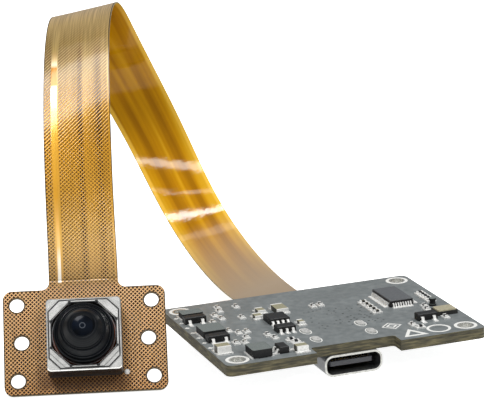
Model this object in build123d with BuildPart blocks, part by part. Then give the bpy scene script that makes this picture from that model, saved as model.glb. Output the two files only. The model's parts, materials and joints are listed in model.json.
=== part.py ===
from build123d import *
import os
from math import cos, pi, radians, sin, sqrt, tan

# Autofocus camera module: a camera head on a flexible circuit, whose ribbon arches
# up and over to a control board with a USB-C receptacle.
# Millimetres, +Z up. The origin is the middle of the board's four holes, on its top
# face. X runs along the board and Y towards its back edge, under which the ribbon
# goes. The head leans back at the front left, and is built on a plane of its own.

os.makedirs("parts", exist_ok=True)

# ---------------------------------------------------------------- driving dimensions

# Control board
board_length = 40.0
board_depth = 30.0
board_thickness = 1.6
board_corner_radius = 1.0
hole_inset = 2.3
board_hole_diameter = 2.0
recess_width = 13.0
recess_depth = 2.6
recess_corner_radius = 0.5

# USB-C receptacle, on the board's underside
usb_width = 8.94
usb_height = 3.2
usb_wall = 0.3
usb_side_flat = 0.6
usb_overhang = 0.3
usb_leg_setback = 3.6
usb_leg_spacing = 4.2
usb_leg_width = 1.1
usb_back_margin = 0.6
leg_slot_clearance = 0.15
leg_slot_end_clearance = 0.25
leg_solder_height = 0.22
leg_solder_margin = 0.45
leg_solder_side_margin = 0.4
tongue_width = 6.69
tongue_thickness = 0.7
tongue_setback = 1.0
tongue_base_length = 1.4
tongue_corner_radius = 0.3
contact_pitch = 0.5
contact_width = 0.25
contact_proud = 0.05
contact_setback = 0.6
contact_tail_length = 0.9
contact_tail_thickness = 0.15
contact_count = 12

# Flexible circuit: head plate, ribbon and tail in one film
film_thickness = 0.2
plate_width = 23.4
plate_height = 15.6
plate_corner_radius = 1.3
head_hole_diameter = 2.1
head_hole_inset_x = 2.0
head_hole_inset_y = 2.15
middle_hole_inset = 0.6
ribbon_width = 10.0
neck_length = 1.5
neck_fillet = 1.1
plate_stiffener_thickness = 0.25
tail_from_middle = 2.0
tail_length = 7.5
tail_stiffener_thickness = 0.5

# How far the ribbon's middle line bows from the straight line between its two ends,
# at each eighth of the way, and the way its width points at each fifth
ribbon_bows = [
    (-2.8, 4.8, 9.2),
    (-4.7, 12.1, 23.6),
    (-1.6, 30.0, 38.0),
    (-0.1, 37.2, 31.4),
    (1.9, 35.3, 18.8),
    (1.1, 27.9, 9.0),
    (1.8, 14.7, 0.4),
]
ribbon_widthways = [
    (1.0, -0.17, 0.17),
    (0.75, -0.45, 0.1),
    (0.83, 0.24, 0.42),
    (1.04, 0.32, 0.22),
]
ribbon_section_count = 21

# Where the head stands, and how it is turned
head_from_board = 17.6
head_from_front = 10.9
head_yaw = -18.0
head_lean = 34.0

# Camera head, in its order from the plate outwards
sensor_width = 6.2
sensor_height = 4.8
sensor_thickness = 0.3
holder_height = 1.0
holder_wall = 0.9
ledge_height = 0.5
ledge_window_inset = 0.6
filter_width = 7.0
filter_height = 5.6
filter_thickness = 0.21
filter_recess = 0.3
can_width = 10.7
can_height = 2.6
can_wall = 0.2
can_corner_radius = 0.6
can_edge_chamfer = 0.12
can_rim = 0.675
can_step = 0.15
can_border = 0.45
can_corner_cut = 2.2
crease_cut = 1.95
crease_width = 0.12
crease_depth = 0.05
notch_size = 0.4
base_height = 0.4
base_rim = 1.35
magnet_clearance = 0.35
magnet_tip_cut = 0.5
spring_thickness = 0.05
spring_ring_width = 0.1
spring_arm_width = 0.15
spring_frame_clearance = 0.3
bead_radius = 0.4
bead_height = 0.3
bead_taper = 30.0

# Lens group, which slides along the optical axis to focus
running_gap = 0.1
coil_wall_gap = 0.55
carrier_foot = 0.4
carrier_wall = 0.8
coil_thickness = 0.3
coil_height = 0.9
thread_length = 1.5
barrel_disc_gap = 0.325
barrel_disc_rise = 0.6
barrel_disc_step = 0.25
barrel_shoulder_diameter = 6.5
barrel_shoulder_rise = 2.3
barrel_nose_diameter = 6.1
barrel_nose_rise = 2.5
barrel_tip_diameter = 3.9
barrel_tip_rise = 4.1
aperture_mouth_diameter = 3.5
aperture_diameter = 3.0
aperture_depth = 0.3
lens_diameter = 3.4
lens_bore_step = 0.5
lens_depths = (0.3, 1.2, 3.3)
lens_thicknesses = (0.5, 0.6, 0.8)
front_lens_bulge = 0.15
spacer_wall = 0.4
retainer_height = 0.5

# Board-to-board connector that joins the ribbon's tail to the board
receptacle_length = 9.0
receptacle_depth = 4.6
receptacle_height = 1.7
receptacle_wall = 0.8
island_length = 6.0
island_depth = 0.8
plug_wall = 0.5
plug_clearance = 0.1
connector_pitch = 0.4
connector_contact_count = 14
connector_foot = 0.5
connector_foot_width = 0.2
connector_foot_thickness = 0.12

# Chips with gull-wing leads
lead_thickness = 0.13
chip_standoff = 0.06
lead_rise_share = 0.45
lead_shoulder_share = 0.25
lead_foot_share = 0.5
chip_edge_chamfer = 0.1
bridge_length = 3.7
bridge_depth = 6.9
bridge_height = 1.0
bridge_place = (13.15, 3.65)
bridge_lead_pitch = 0.4
bridge_lead_width = 0.18
bridge_lead_reach = 0.7
bridge_short_side_count = 8
bridge_long_side_count = 16
memory_length = 3.1
memory_depth = 3.0
memory_height = 0.9
memory_place = (-6.4, 1.6)
memory_lead_pitch = 0.78
memory_lead_width = 0.34
memory_lead_reach = 1.0
memory_side_count = 4
regulator_length = 2.9
regulator_depth = 1.6
regulator_height = 0.9
regulator_place = (-6.9, -3.2)
regulator_lead_pitch = 0.95
regulator_lead_width = 0.36
regulator_lead_reach = 0.6
regulator_side_count = 3
transistor_depth = 1.4
transistor_height = 1.0
transistor_lead_width = 0.42
transistor_lead_reach = 0.9
transistor_lead_spread_share = 0.3
# Middle, turn and length of each transistor
transistors_at = [
    (-17.5, 6.7, 0, 3.3),
    (-17.3, -3.2, 0, 3.3),
    (13.8, -7.3, 0, 3.1),
    (-10.7, -12.05, -90, 2.2),
]

# Power inductors: middle, length, depth and height of each
inductors_at = [
    (-17.25, 9.1, 3.3, 2.2, 1.0),
    (-17.25, -0.15, 3.5, 3.7, 1.2),
    (-14.15, -11.95, 3.0, 3.5, 1.3),
]
inductor_terminal = 0.6
inductor_lift = 0.1
inductor_corner_radius = 0.3
inductor_terminal_share = 0.8
drum_diameter = 1.1
drum_height = 1.2
drum_flange = 0.3
drum_waist = 0.2
drum_place = (17.4, -1.6)

# Crystal in a lidded ceramic case
crystal_length = 3.2
crystal_depth = 2.5
crystal_base_height = 0.6
crystal_lid_height = 0.2
crystal_lid_inset = 0.15
crystal_place = (17.5, -5.7)

# Large chip components: middle, turn, length, width and height of each
large_chips_at = [
    (-18.5, -8.7, 90, 2.1, 2.0, 1.2),
    (-8.2, -13.1, 90, 1.9, 1.7, 1.0),
    (-4.25, 6.05, 90, 3.1, 1.8, 0.8),
    (-8.4, 4.3, 90, 1.8, 1.2, 0.6),
    (-7.1, 6.7, 90, 1.9, 1.2, 0.6),
    (-3.7, -1.4, 90, 1.6, 0.8, 0.6),
]
large_chip_end = 0.35

# Small chip components: middle and turn of each
small_chip_length = 1.0
small_chip_width = 0.5
small_chip_height = 0.5
small_chip_end = 0.25
capacitors_at = [
    (-12.2, 11.5, 90), (-12.5, 9.8, 90), (-13.9, 8.0, 90), (-13.4, 6.2, 90), (-15.2, 4.9, 90),
    (-14.5, 0.0, 90), (-13.5, -1.5, 90), (-12.2, -1.4, 90), (-13.2, -4.0, 90), (-15.4, -5.8, 90),
    (-14.2, -6.1, 90), (8.5, 4.1, 0), (8.5, 2.75, 0), (8.5, 1.4, 0), (8.5, 0.05, 0), (8.5, -1.3, 0),
]
resistors_at = [
    (-10.0, -4.3, 90), (-9.5, -6.0, 90), (-7.8, -8.0, 0), (-7.5, -9.2, 0), (-10.5, 5.4, 90),
    (-9.5, 10.8, 90), (1.0, 5.8, 90), (2.3, 6.0, 90), (18.0, 4.5, 0), (18.0, 3.5, 0), (18.0, 2.5, 0),
    (18.0, 1.5, 0), (18.0, 0.5, 0), (16.0, -1.8, 90), (15.7, -3.3, 90), (16.6, -8.1, 90),
    (10.8, -9.3, 90), (11.3, -10.9, 0),
]

# ---------------------------------------------------------------- derived places

floor = -board_thickness - usb_height
usb_mouth_y = -board_depth / 2 + recess_depth - usb_overhang
leg_rows = [usb_mouth_y + usb_leg_setback, usb_mouth_y + usb_leg_setback + usb_leg_spacing]
usb_length = usb_leg_setback + usb_leg_spacing + usb_leg_width / 2 + usb_back_margin
slot_width = usb_wall + 2 * leg_slot_clearance
slot_length = usb_leg_width + 2 * leg_slot_end_clearance
usb_corner_radius = (usb_height - usb_side_flat) / 2
usb_inside_width = usb_width - 2 * usb_wall
usb_inside_height = usb_height - 2 * usb_wall
usb_inside_radius = usb_corner_radius - usb_wall
board_hole_spacing_x = board_length - 2 * hole_inset
board_hole_spacing_y = board_depth - 2 * hole_inset

yaw = radians(head_yaw)
lean = radians(head_lean)
head_right = Vector(cos(yaw), sin(yaw), 0)
head_up = Vector(-sin(yaw) * sin(lean), cos(yaw) * sin(lean), cos(lean))
head_front = head_right.cross(head_up)

# The lowest line of the leaning plate is the back edge of its stiffener.
plate_back = film_thickness + plate_stiffener_thickness
head_foot = Vector(
    -board_length / 2 - head_from_board,
    -board_depth / 2 + head_from_front,
    floor + plate_back * sin(lean),
)
head = Plane(
    origin=head_foot + head_up * plate_height / 2,
    x_dir=head_right,
    z_dir=head_front,
)
optical_axis = Axis(head.origin, head_front)
half_plane = Plane(origin=head.origin, x_dir=head_right, z_dir=-head_up)

can_front = holder_height + can_height
base_top = holder_height + base_height
carrier_bottom = base_top + spring_thickness
carrier_top = can_front - can_wall - can_step
carrier_foot_top = carrier_bottom + carrier_foot
upper_spring_bottom = carrier_top - spring_thickness
can_inside = can_width - 2 * can_wall
can_opening = can_width - 2 * can_rim
base_hole_diameter = can_inside - 2 * base_rim
inside_corner_radius = can_corner_radius - can_wall
coil_radius = can_inside / 2 - coil_wall_gap
carrier_radius = coil_radius - coil_thickness
thread_radius = carrier_radius - carrier_wall
barrel_disc_radius = can_opening / 2 - barrel_disc_gap
barrel_neck_radius = barrel_disc_radius - barrel_disc_step
barrel_tip = can_front + barrel_tip_rise
lens_radii = [lens_diameter / 2 + index * lens_bore_step for index in range(len(lens_depths))]
lens_seats = [barrel_tip - depth for depth in lens_depths]

tail_x = tail_from_middle
tail_y = board_depth / 2 + film_thickness
tail_z = floor + tail_stiffener_thickness
connector_height = -board_thickness - tail_z - film_thickness
connector_y = board_depth / 2 - tail_length / 2


def head_hole_places():
    """Centres of the six holes in the head plate, three beside each end."""
    half_x = plate_width / 2 - head_hole_inset_x
    half_y = plate_height / 2 - head_hole_inset_y
    places = []
    for side in (-1, 1):
        places.append((side * half_x, half_y))
        places.append((side * (half_x - middle_hole_inset), 0))
        places.append((side * half_x, -half_y))
    return places


def octagon_points(across, cut):
    """Corners of a square of the given width with its corners cut back by cut."""
    half = across / 2
    short = half - cut
    return [
        (half, -short), (half, short), (short, half), (-short, half),
        (-half, short), (-half, -short), (-short, -half), (short, -half),
    ]


# ---------------------------------------------------------------- control board

with BuildPart() as circuit_board:
    with BuildSketch(Plane.XY.offset(-board_thickness)) as outline:
        Rectangle(board_length, board_depth)
        fillet(outline.vertices(), board_corner_radius)
        with BuildSketch(mode=Mode.PRIVATE) as recess:
            with Locations((0, -board_depth / 2)):
                Rectangle(recess_width, 2 * recess_depth)
            fillet(recess.vertices().group_by(Axis.Y)[-1], recess_corner_radius)
        add(recess.sketch, mode=Mode.SUBTRACT)
        with GridLocations(board_hole_spacing_x, board_hole_spacing_y, 2, 2):
            Circle(board_hole_diameter / 2, mode=Mode.SUBTRACT)
        for row in leg_rows:
            with Locations((-usb_width / 2 + usb_wall / 2, row), (usb_width / 2 - usb_wall / 2, row)):
                Rectangle(slot_width, slot_length, mode=Mode.SUBTRACT)
    extrude(amount=board_thickness)
circuit_board.part.label = "circuit_board"
export_step(circuit_board.part, "parts/circuit_board.step")

# ---------------------------------------------------------------- USB-C receptacle

usb_mouth = Plane(
    origin=(0, usb_mouth_y, -board_thickness - usb_height / 2),
    x_dir=(1, 0, 0),
    z_dir=(0, -1, 0),
)

with BuildPart() as usb_shell:
    with BuildSketch(usb_mouth.offset(-usb_length)):
        RectangleRounded(usb_width, usb_height, usb_corner_radius)
    extrude(amount=usb_length)
    with BuildSketch(usb_mouth):
        RectangleRounded(usb_inside_width, usb_inside_height, usb_inside_radius)
    extrude(amount=-(usb_length - usb_wall), mode=Mode.SUBTRACT)
    for row in leg_rows:
        with BuildSketch(Plane.XY.offset(-board_thickness - usb_height / 2)):
            for side in (-1, 1):
                with Locations((side * (usb_width - usb_wall) / 2, row)):
                    Rectangle(usb_wall, usb_leg_width)
        extrude(amount=usb_height / 2 + board_thickness)
usb_shell.part.label = "usb_shell"
export_step(usb_shell.part, "parts/usb_shell.step")

pad_length = usb_leg_width + 2 * leg_solder_margin
pad_width = usb_wall + 2 * leg_solder_side_margin

with BuildPart() as leg_solder:
    for row in leg_rows:
        for side in (-1, 1):
            with BuildSketch(Plane.XY):
                with Locations((side * (usb_width - usb_wall) / 2, row)):
                    SlotOverall(pad_length, pad_width, rotation=90)
            extrude(amount=leg_solder_height)
leg_solder.part.label = "leg_solder"
export_step(leg_solder.part, "parts/leg_solder.step")

tongue_base_back = usb_length - usb_wall
tongue_front = tongue_setback

with BuildPart() as usb_tongue:
    with BuildSketch(usb_mouth.offset(-tongue_base_back)):
        RectangleRounded(usb_inside_width, usb_inside_height, usb_inside_radius)
    extrude(amount=tongue_base_length)
    with BuildSketch(usb_mouth.offset(-tongue_base_back + tongue_base_length)):
        Rectangle(tongue_width, tongue_thickness)
    extrude(amount=tongue_base_back - tongue_base_length - tongue_front)
    fillet(usb_tongue.edges().group_by(Axis.Y)[0].filter_by(Axis.Z), tongue_corner_radius)
usb_tongue.part.label = "usb_tongue"
export_step(usb_tongue.part, "parts/usb_tongue.step")

with BuildPart() as usb_contacts:
    for side in (-1, 1):
        with BuildSketch(usb_mouth.offset(-tongue_base_back + tongue_base_length)):
            with Locations((0, side * (tongue_thickness + contact_proud) / 2)):
                with GridLocations(contact_pitch, 0, contact_count, 1):
                    Rectangle(contact_width, contact_proud)
        extrude(amount=tongue_base_back - tongue_base_length - tongue_front - contact_setback)
    with BuildSketch(Plane.XY.offset(-board_thickness)):
        with Locations((0, usb_mouth_y + usb_length + contact_tail_length / 2)):
            with GridLocations(contact_pitch, 0, contact_count, 1):
                Rectangle(contact_width, contact_tail_length)
    extrude(amount=-contact_tail_thickness)
usb_contacts.part.label = "usb_contacts"
export_step(usb_contacts.part, "parts/usb_contacts.step")

# ---------------------------------------------------------------- flexible circuit

neck_end = head.offset(-film_thickness / 2).from_local_coords((0, plate_height / 2 + neck_length, 0))
tail_start = Vector(tail_x, tail_y, tail_z + film_thickness / 2)


def ribbon_planes():
    """Planes of the ribbon's cross-sections, from the head's neck to the tail."""
    count = len(ribbon_bows) + 1
    points = [neck_end]
    for index, bow in enumerate(ribbon_bows, start=1):
        points.append(neck_end + (tail_start - neck_end) * (index / count) + Vector(*bow))
    points.append(tail_start)
    route = Edge.make_spline(points, tangents=[head_up, Vector(0, -1, 0)])
    directions = [head_right] + [Vector(*across) for across in ribbon_widthways] + [Vector(1, 0, 0)]
    steps = [index / (len(directions) - 1) for index in range(len(directions))]
    widthway = Edge.make_spline(directions, parameters=steps)
    planes = []
    for index in range(ribbon_section_count):
        along = index / (ribbon_section_count - 1)
        tangent = route % along
        across = widthway.position_at(along, position_mode=PositionMode.PARAMETER)
        across = across - tangent * across.dot(tangent)
        planes.append(Plane(origin=route @ along, x_dir=across, z_dir=tangent))
    return planes


with BuildPart() as flex_circuit:
    for section_plane in ribbon_planes():
        with BuildSketch(section_plane):
            Rectangle(ribbon_width, film_thickness)
    loft()
    with BuildSketch(head.offset(-film_thickness)) as plate_outline:
        with Locations((0, plate_height / 4)):
            Rectangle(ribbon_width, plate_height / 2 + 2 * neck_length)
        Rectangle(plate_width, plate_height)
        neck_corners = plate_outline.vertices().filter_by(
            lambda corner: abs(abs(corner.X) - ribbon_width / 2) < film_thickness
            and abs(corner.Y - plate_height / 2) < film_thickness
        )
        fillet(neck_corners, neck_fillet)
        plate_corners = plate_outline.vertices().filter_by(
            lambda corner: abs(abs(corner.X) - plate_width / 2) < film_thickness
        )
        fillet(plate_corners, plate_corner_radius)
        with Locations(*head_hole_places()):
            Circle(head_hole_diameter / 2, mode=Mode.SUBTRACT)
    extrude(amount=film_thickness)
    with BuildSketch(Plane.XY.offset(tail_z)):
        with Locations((tail_x, tail_y - tail_length / 2)):
            Rectangle(ribbon_width, tail_length)
    extrude(amount=film_thickness)
flex_circuit.part.label = "flex_circuit"
export_step(flex_circuit.part, "parts/flex_circuit.step")

with BuildPart() as head_stiffener:
    with BuildSketch(head.offset(-plate_back)) as stiffener_outline:
        Rectangle(plate_width, plate_height)
        fillet(stiffener_outline.vertices(), plate_corner_radius)
        with Locations(*head_hole_places()):
            Circle(head_hole_diameter / 2, mode=Mode.SUBTRACT)
    extrude(amount=plate_stiffener_thickness)
head_stiffener.part.label = "head_stiffener"
export_step(head_stiffener.part, "parts/head_stiffener.step")

with BuildPart() as tail_stiffener:
    with BuildSketch(Plane.XY.offset(floor)):
        with Locations((tail_x, tail_y - tail_length / 2)):
            Rectangle(ribbon_width, tail_length)
    extrude(amount=tail_stiffener_thickness)
tail_stiffener.part.label = "tail_stiffener"
export_step(tail_stiffener.part, "parts/tail_stiffener.step")

# ---------------------------------------------------------------- sensor and its holder

with BuildPart() as image_sensor:
    with BuildSketch(head):
        Rectangle(sensor_width, sensor_height)
    extrude(amount=sensor_thickness)
image_sensor.part.label = "image_sensor"
export_step(image_sensor.part, "parts/image_sensor.step")

filter_seat = holder_height - filter_recess

with BuildPart() as sensor_holder:
    with BuildSketch(head):
        RectangleRounded(can_width, can_width, can_corner_radius)
    extrude(amount=holder_height)
    with BuildSketch(head):
        Rectangle(can_width - 2 * holder_wall, can_width - 2 * holder_wall)
    extrude(amount=holder_height - ledge_height, mode=Mode.SUBTRACT)
    with BuildSketch(head):
        Rectangle(filter_width - 2 * ledge_window_inset, filter_height - 2 * ledge_window_inset)
    extrude(amount=holder_height, mode=Mode.SUBTRACT)
    with BuildSketch(head.offset(filter_seat)):
        Rectangle(filter_width + running_gap, filter_height + running_gap)
    extrude(amount=filter_recess, mode=Mode.SUBTRACT)
sensor_holder.part.label = "sensor_holder"
export_step(sensor_holder.part, "parts/sensor_holder.step")

with BuildPart() as infrared_filter:
    with BuildSketch(head.offset(filter_seat)):
        Rectangle(filter_width, filter_height)
    extrude(amount=filter_thickness)
infrared_filter.part.label = "infrared_filter"
export_step(infrared_filter.part, "parts/infrared_filter.step")

with BuildPart() as solder_bead:
    with BuildSketch(head):
        with Locations((can_width / 2 + bead_radius + running_gap, -can_width / 2 + bead_radius)):
            Circle(bead_radius)
    extrude(amount=bead_height, taper=bead_taper)
solder_bead.part.label = "solder_bead"
export_step(solder_bead.part, "parts/solder_bead.step")

# ---------------------------------------------------------------- focus actuator


def spring_outline(ring_radius):
    """Flat spring: a frame in the can's corners, and four arms to the ring inside it."""
    frame_radius = can_inside / 2 - spring_frame_clearance
    with BuildSketch() as outline:
        RectangleRounded(can_inside, can_inside, inside_corner_radius)
        Circle(frame_radius, mode=Mode.SUBTRACT)
        with PolarLocations((ring_radius + frame_radius) / 2, 4, start_angle=45):
            Rectangle(frame_radius - ring_radius + 2 * spring_arm_width, spring_arm_width)
        Circle(ring_radius)
        Circle(ring_radius - spring_ring_width, mode=Mode.SUBTRACT)
    return outline.sketch


with BuildPart() as actuator_base:
    with BuildSketch(head.offset(holder_height)):
        RectangleRounded(can_inside, can_inside, inside_corner_radius)
        Circle(base_hole_diameter / 2, mode=Mode.SUBTRACT)
    extrude(amount=base_height)
actuator_base.part.label = "actuator_base"
export_step(actuator_base.part, "parts/actuator_base.step")

with BuildPart() as lower_spring:
    with BuildSketch(head.offset(base_top)):
        add(spring_outline(carrier_radius))
    extrude(amount=spring_thickness)
lower_spring.part.label = "lower_spring"
export_step(lower_spring.part, "parts/lower_spring.step")

with BuildPart() as upper_spring:
    with BuildSketch(head.offset(upper_spring_bottom)):
        add(spring_outline(barrel_disc_radius + running_gap + spring_ring_width))
    extrude(amount=spring_thickness)
upper_spring.part.label = "upper_spring"
export_step(upper_spring.part, "parts/upper_spring.step")

magnet_wall = can_inside / 2
magnet_leg = sqrt(2) * (coil_radius + magnet_clearance) - magnet_wall

with BuildPart() as corner_magnets:
    with BuildSketch(head.offset(carrier_bottom)):
        with PolarLocations(0, 4):
            Polygon(
                (magnet_wall, magnet_leg),
                (magnet_wall, magnet_wall - magnet_tip_cut),
                (magnet_wall - magnet_tip_cut, magnet_wall),
                (magnet_leg, magnet_wall),
                align=None,
            )
    extrude(amount=upper_spring_bottom - carrier_bottom)
corner_magnets.part.label = "corner_magnets"
export_step(corner_magnets.part, "parts/corner_magnets.step")

opening_cut = can_opening / 2 * (1 - tan(pi / 8))
opening_corners = octagon_points(can_opening, opening_cut)

with BuildPart() as actuator_can:
    with BuildSketch(head.offset(holder_height)):
        RectangleRounded(can_width, can_width, can_corner_radius)
    extrude(amount=can_height - can_step)
    chamfer(actuator_can.faces().sort_by(optical_axis)[-1].edges(), can_edge_chamfer)
    with BuildSketch(head.offset(can_front - can_step)):
        with PolarLocations(sqrt(2) * (can_width - crease_cut) / 2, 4, start_angle=45):
            Rectangle(crease_width, sqrt(2) * crease_cut)
    extrude(amount=-crease_depth, mode=Mode.SUBTRACT)
    with BuildSketch(head.offset(can_front - can_step)):
        Polygon(*octagon_points(can_width - 2 * can_border, can_corner_cut), align=None)
    extrude(amount=can_step)
    with BuildSketch(head.offset(holder_height)):
        RectangleRounded(can_inside, can_inside, inside_corner_radius)
    extrude(amount=carrier_top - holder_height, mode=Mode.SUBTRACT)
    with BuildSketch(head.offset(can_front)):
        Polygon(*opening_corners, align=None)
        with Locations(*opening_corners):
            Rectangle(notch_size, notch_size)
    extrude(amount=-can_height, mode=Mode.SUBTRACT)
actuator_can.part.label = "actuator_can"
export_step(actuator_can.part, "parts/actuator_can.step")

# ---------------------------------------------------------------- lens group

with BuildPart() as lens_carrier:
    with BuildSketch(head.offset(carrier_bottom)):
        Circle(coil_radius)
        Circle(thread_radius, mode=Mode.SUBTRACT)
    extrude(amount=carrier_foot)
    with BuildSketch(head.offset(carrier_foot_top)):
        Circle(carrier_radius)
        Circle(thread_radius, mode=Mode.SUBTRACT)
    extrude(amount=carrier_top - carrier_foot_top)
lens_carrier.part.label = "lens_carrier"
export_step(lens_carrier.part, "parts/lens_carrier.step")

with BuildPart() as focus_coil:
    with BuildSketch(head.offset(carrier_foot_top)):
        Circle(coil_radius)
        Circle(carrier_radius, mode=Mode.SUBTRACT)
    extrude(amount=coil_height)
focus_coil.part.label = "focus_coil"
export_step(focus_coil.part, "parts/focus_coil.step")

with BuildPart() as lens_barrel:
    with BuildSketch(half_plane):
        Polygon(
            (0, carrier_top - thread_length),
            (thread_radius, carrier_top - thread_length),
            (thread_radius, carrier_top),
            (barrel_disc_radius, carrier_top),
            (barrel_disc_radius, can_front + barrel_disc_rise),
            (barrel_neck_radius, can_front + barrel_disc_rise),
            (barrel_shoulder_diameter / 2, can_front + barrel_shoulder_rise),
            (barrel_nose_diameter / 2, can_front + barrel_nose_rise),
            (barrel_tip_diameter / 2, barrel_tip),
            (0, barrel_tip),
            align=None,
        )
    revolve(axis=optical_axis)
    with BuildSketch(half_plane):
        Polygon(
            (0, barrel_tip),
            (aperture_mouth_diameter / 2, barrel_tip),
            (aperture_diameter / 2, barrel_tip - aperture_depth),
            (0, barrel_tip - aperture_depth),
            align=None,
        )
    revolve(axis=optical_axis, mode=Mode.SUBTRACT)
    for radius, seat in zip(lens_radii, lens_seats):
        with BuildSketch(head.offset(seat)):
            Circle(radius)
        extrude(amount=-seat, mode=Mode.SUBTRACT)
lens_barrel.part.label = "lens_barrel"
export_step(lens_barrel.part, "parts/lens_barrel.step")


with BuildPart() as front_lens:
    front_seat = lens_seats[0]
    front_back = front_seat - lens_thicknesses[0]
    with BuildSketch(half_plane):
        with BuildLine():
            apex = (0, front_seat + front_lens_bulge)
            rim = (aperture_diameter / 2, front_seat)
            Polyline(apex, (0, front_back), (lens_radii[0], front_back), (lens_radii[0], front_seat), rim)
            TangentArc(apex, rim, tangent=(1, 0))
        make_face()
    revolve(axis=optical_axis)
front_lens.part.label = "front_lens"
export_step(front_lens.part, "parts/front_lens.step")

with BuildPart() as middle_lens:
    with BuildSketch(head.offset(lens_seats[1])):
        Circle(lens_radii[1])
    extrude(amount=-lens_thicknesses[1])
middle_lens.part.label = "middle_lens"
export_step(middle_lens.part, "parts/middle_lens.step")

with BuildPart() as rear_lens:
    with BuildSketch(head.offset(lens_seats[2])):
        Circle(lens_radii[2])
    extrude(amount=-lens_thicknesses[2])
rear_lens.part.label = "rear_lens"
export_step(rear_lens.part, "parts/rear_lens.step")

with BuildPart() as lens_spacers:
    for number in (0, 1):
        back = lens_seats[number] - lens_thicknesses[number]
        with BuildSketch(head.offset(back)):
            Circle(lens_radii[number])
            Circle(lens_radii[number] - spacer_wall, mode=Mode.SUBTRACT)
        extrude(amount=lens_seats[number + 1] - back)
lens_spacers.part.label = "lens_spacers"
export_step(lens_spacers.part, "parts/lens_spacers.step")

with BuildPart() as lens_retainer:
    with BuildSketch(head.offset(lens_seats[2] - lens_thicknesses[2])):
        Circle(lens_radii[2])
        Circle(lens_radii[2] - spacer_wall, mode=Mode.SUBTRACT)
    extrude(amount=-retainer_height)
lens_retainer.part.label = "lens_retainer"
export_step(lens_retainer.part, "parts/lens_retainer.step")

# ---------------------------------------------------------------- ribbon connector

connector_middle = Vector(tail_x, connector_y, 0)
film_top = tail_z + film_thickness
cavity_length = receptacle_length - 2 * receptacle_wall
cavity_depth = receptacle_depth - 2 * receptacle_wall
plug_length = cavity_length - 2 * plug_clearance
plug_depth = cavity_depth - 2 * plug_clearance
plug_base_height = connector_height - receptacle_height

with BuildPart() as ribbon_receptacle:
    with BuildSketch(Plane.XY.offset(-board_thickness)):
        with Locations(connector_middle):
            Rectangle(receptacle_length, receptacle_depth)
    extrude(amount=-receptacle_height)
    with BuildSketch(Plane.XY.offset(-board_thickness - receptacle_height)):
        with Locations(connector_middle):
            Rectangle(cavity_length, cavity_depth)
            Rectangle(island_length, island_depth, mode=Mode.SUBTRACT)
    extrude(amount=receptacle_height - plug_wall, mode=Mode.SUBTRACT)
ribbon_receptacle.part.label = "ribbon_receptacle"
export_step(ribbon_receptacle.part, "parts/ribbon_receptacle.step")

with BuildPart() as ribbon_plug:
    with BuildSketch(Plane.XY.offset(film_top)):
        with Locations(connector_middle):
            Rectangle(receptacle_length, receptacle_depth)
    extrude(amount=plug_base_height)
    with BuildSketch(Plane.XY.offset(film_top + plug_base_height)):
        with Locations(connector_middle):
            Rectangle(plug_length, plug_depth)
            Rectangle(plug_length - 2 * plug_wall, plug_depth - 2 * plug_wall, mode=Mode.SUBTRACT)
    extrude(amount=receptacle_height - plug_wall - plug_clearance)
ribbon_plug.part.label = "ribbon_plug"
export_step(ribbon_plug.part, "parts/ribbon_plug.step")

contact_row = (receptacle_depth + connector_foot) / 2

with BuildPart() as receptacle_contacts:
    with BuildSketch(Plane.XY.offset(-board_thickness)):
        with Locations(connector_middle):
            with GridLocations(connector_pitch, 2 * contact_row, connector_contact_count, 2):
                Rectangle(connector_foot_width, connector_foot)
    extrude(amount=-connector_foot_thickness)
receptacle_contacts.part.label = "receptacle_contacts"
export_step(receptacle_contacts.part, "parts/receptacle_contacts.step")

with BuildPart() as plug_contacts:
    with BuildSketch(Plane.XY.offset(film_top)):
        with Locations(connector_middle):
            with GridLocations(connector_pitch, 2 * contact_row, connector_contact_count, 2):
                Rectangle(connector_foot_width, connector_foot)
    extrude(amount=connector_foot_thickness)
plug_contacts.part.label = "plug_contacts"
export_step(plug_contacts.part, "parts/plug_contacts.step")

# ---------------------------------------------------------------- chips and their leads


def lead_outline(body_height, reach):
    """Side view of a gull-wing lead: out of the body, down, and along the board."""
    rise = chip_standoff + body_height * lead_rise_share
    shoulder = reach * lead_shoulder_share
    foot = reach * lead_foot_share
    half = lead_thickness / 2
    with BuildSketch() as outline:
        Polygon(
            (0, rise + lead_thickness),
            (shoulder + half, rise + lead_thickness),
            (foot + half, lead_thickness),
            (reach, lead_thickness),
            (reach, 0),
            (foot - half, 0),
            (shoulder - half, rise),
            (0, rise),
            align=None,
        )
    return outline.sketch


def lead_planes(place, turn, half_reach, offsets):
    """Upright planes of one row of leads, on the side of a body that faces turn."""
    outward = Vector(1, 0, 0).rotate(Axis.Z, turn)
    sideways = Vector(0, 1, 0).rotate(Axis.Z, turn)
    foot_line = Vector(*place) + outward * half_reach
    return [
        Plane(origin=foot_line + sideways * offset, x_dir=outward, z_dir=-sideways)
        for offset in offsets
    ]


def evenly(count, pitch):
    """Offsets of a centred row."""
    return [(index - (count - 1) / 2) * pitch for index in range(count)]


with BuildPart() as bridge_chip:
    with BuildSketch(Plane.XY.offset(chip_standoff)):
        with Locations(bridge_place):
            Rectangle(bridge_length, bridge_depth)
    extrude(amount=bridge_height)
    chamfer(bridge_chip.edges().group_by(Axis.Z)[-1], chip_edge_chamfer)
bridge_chip.part.label = "bridge_chip"
export_step(bridge_chip.part, "parts/bridge_chip.step")

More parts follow.
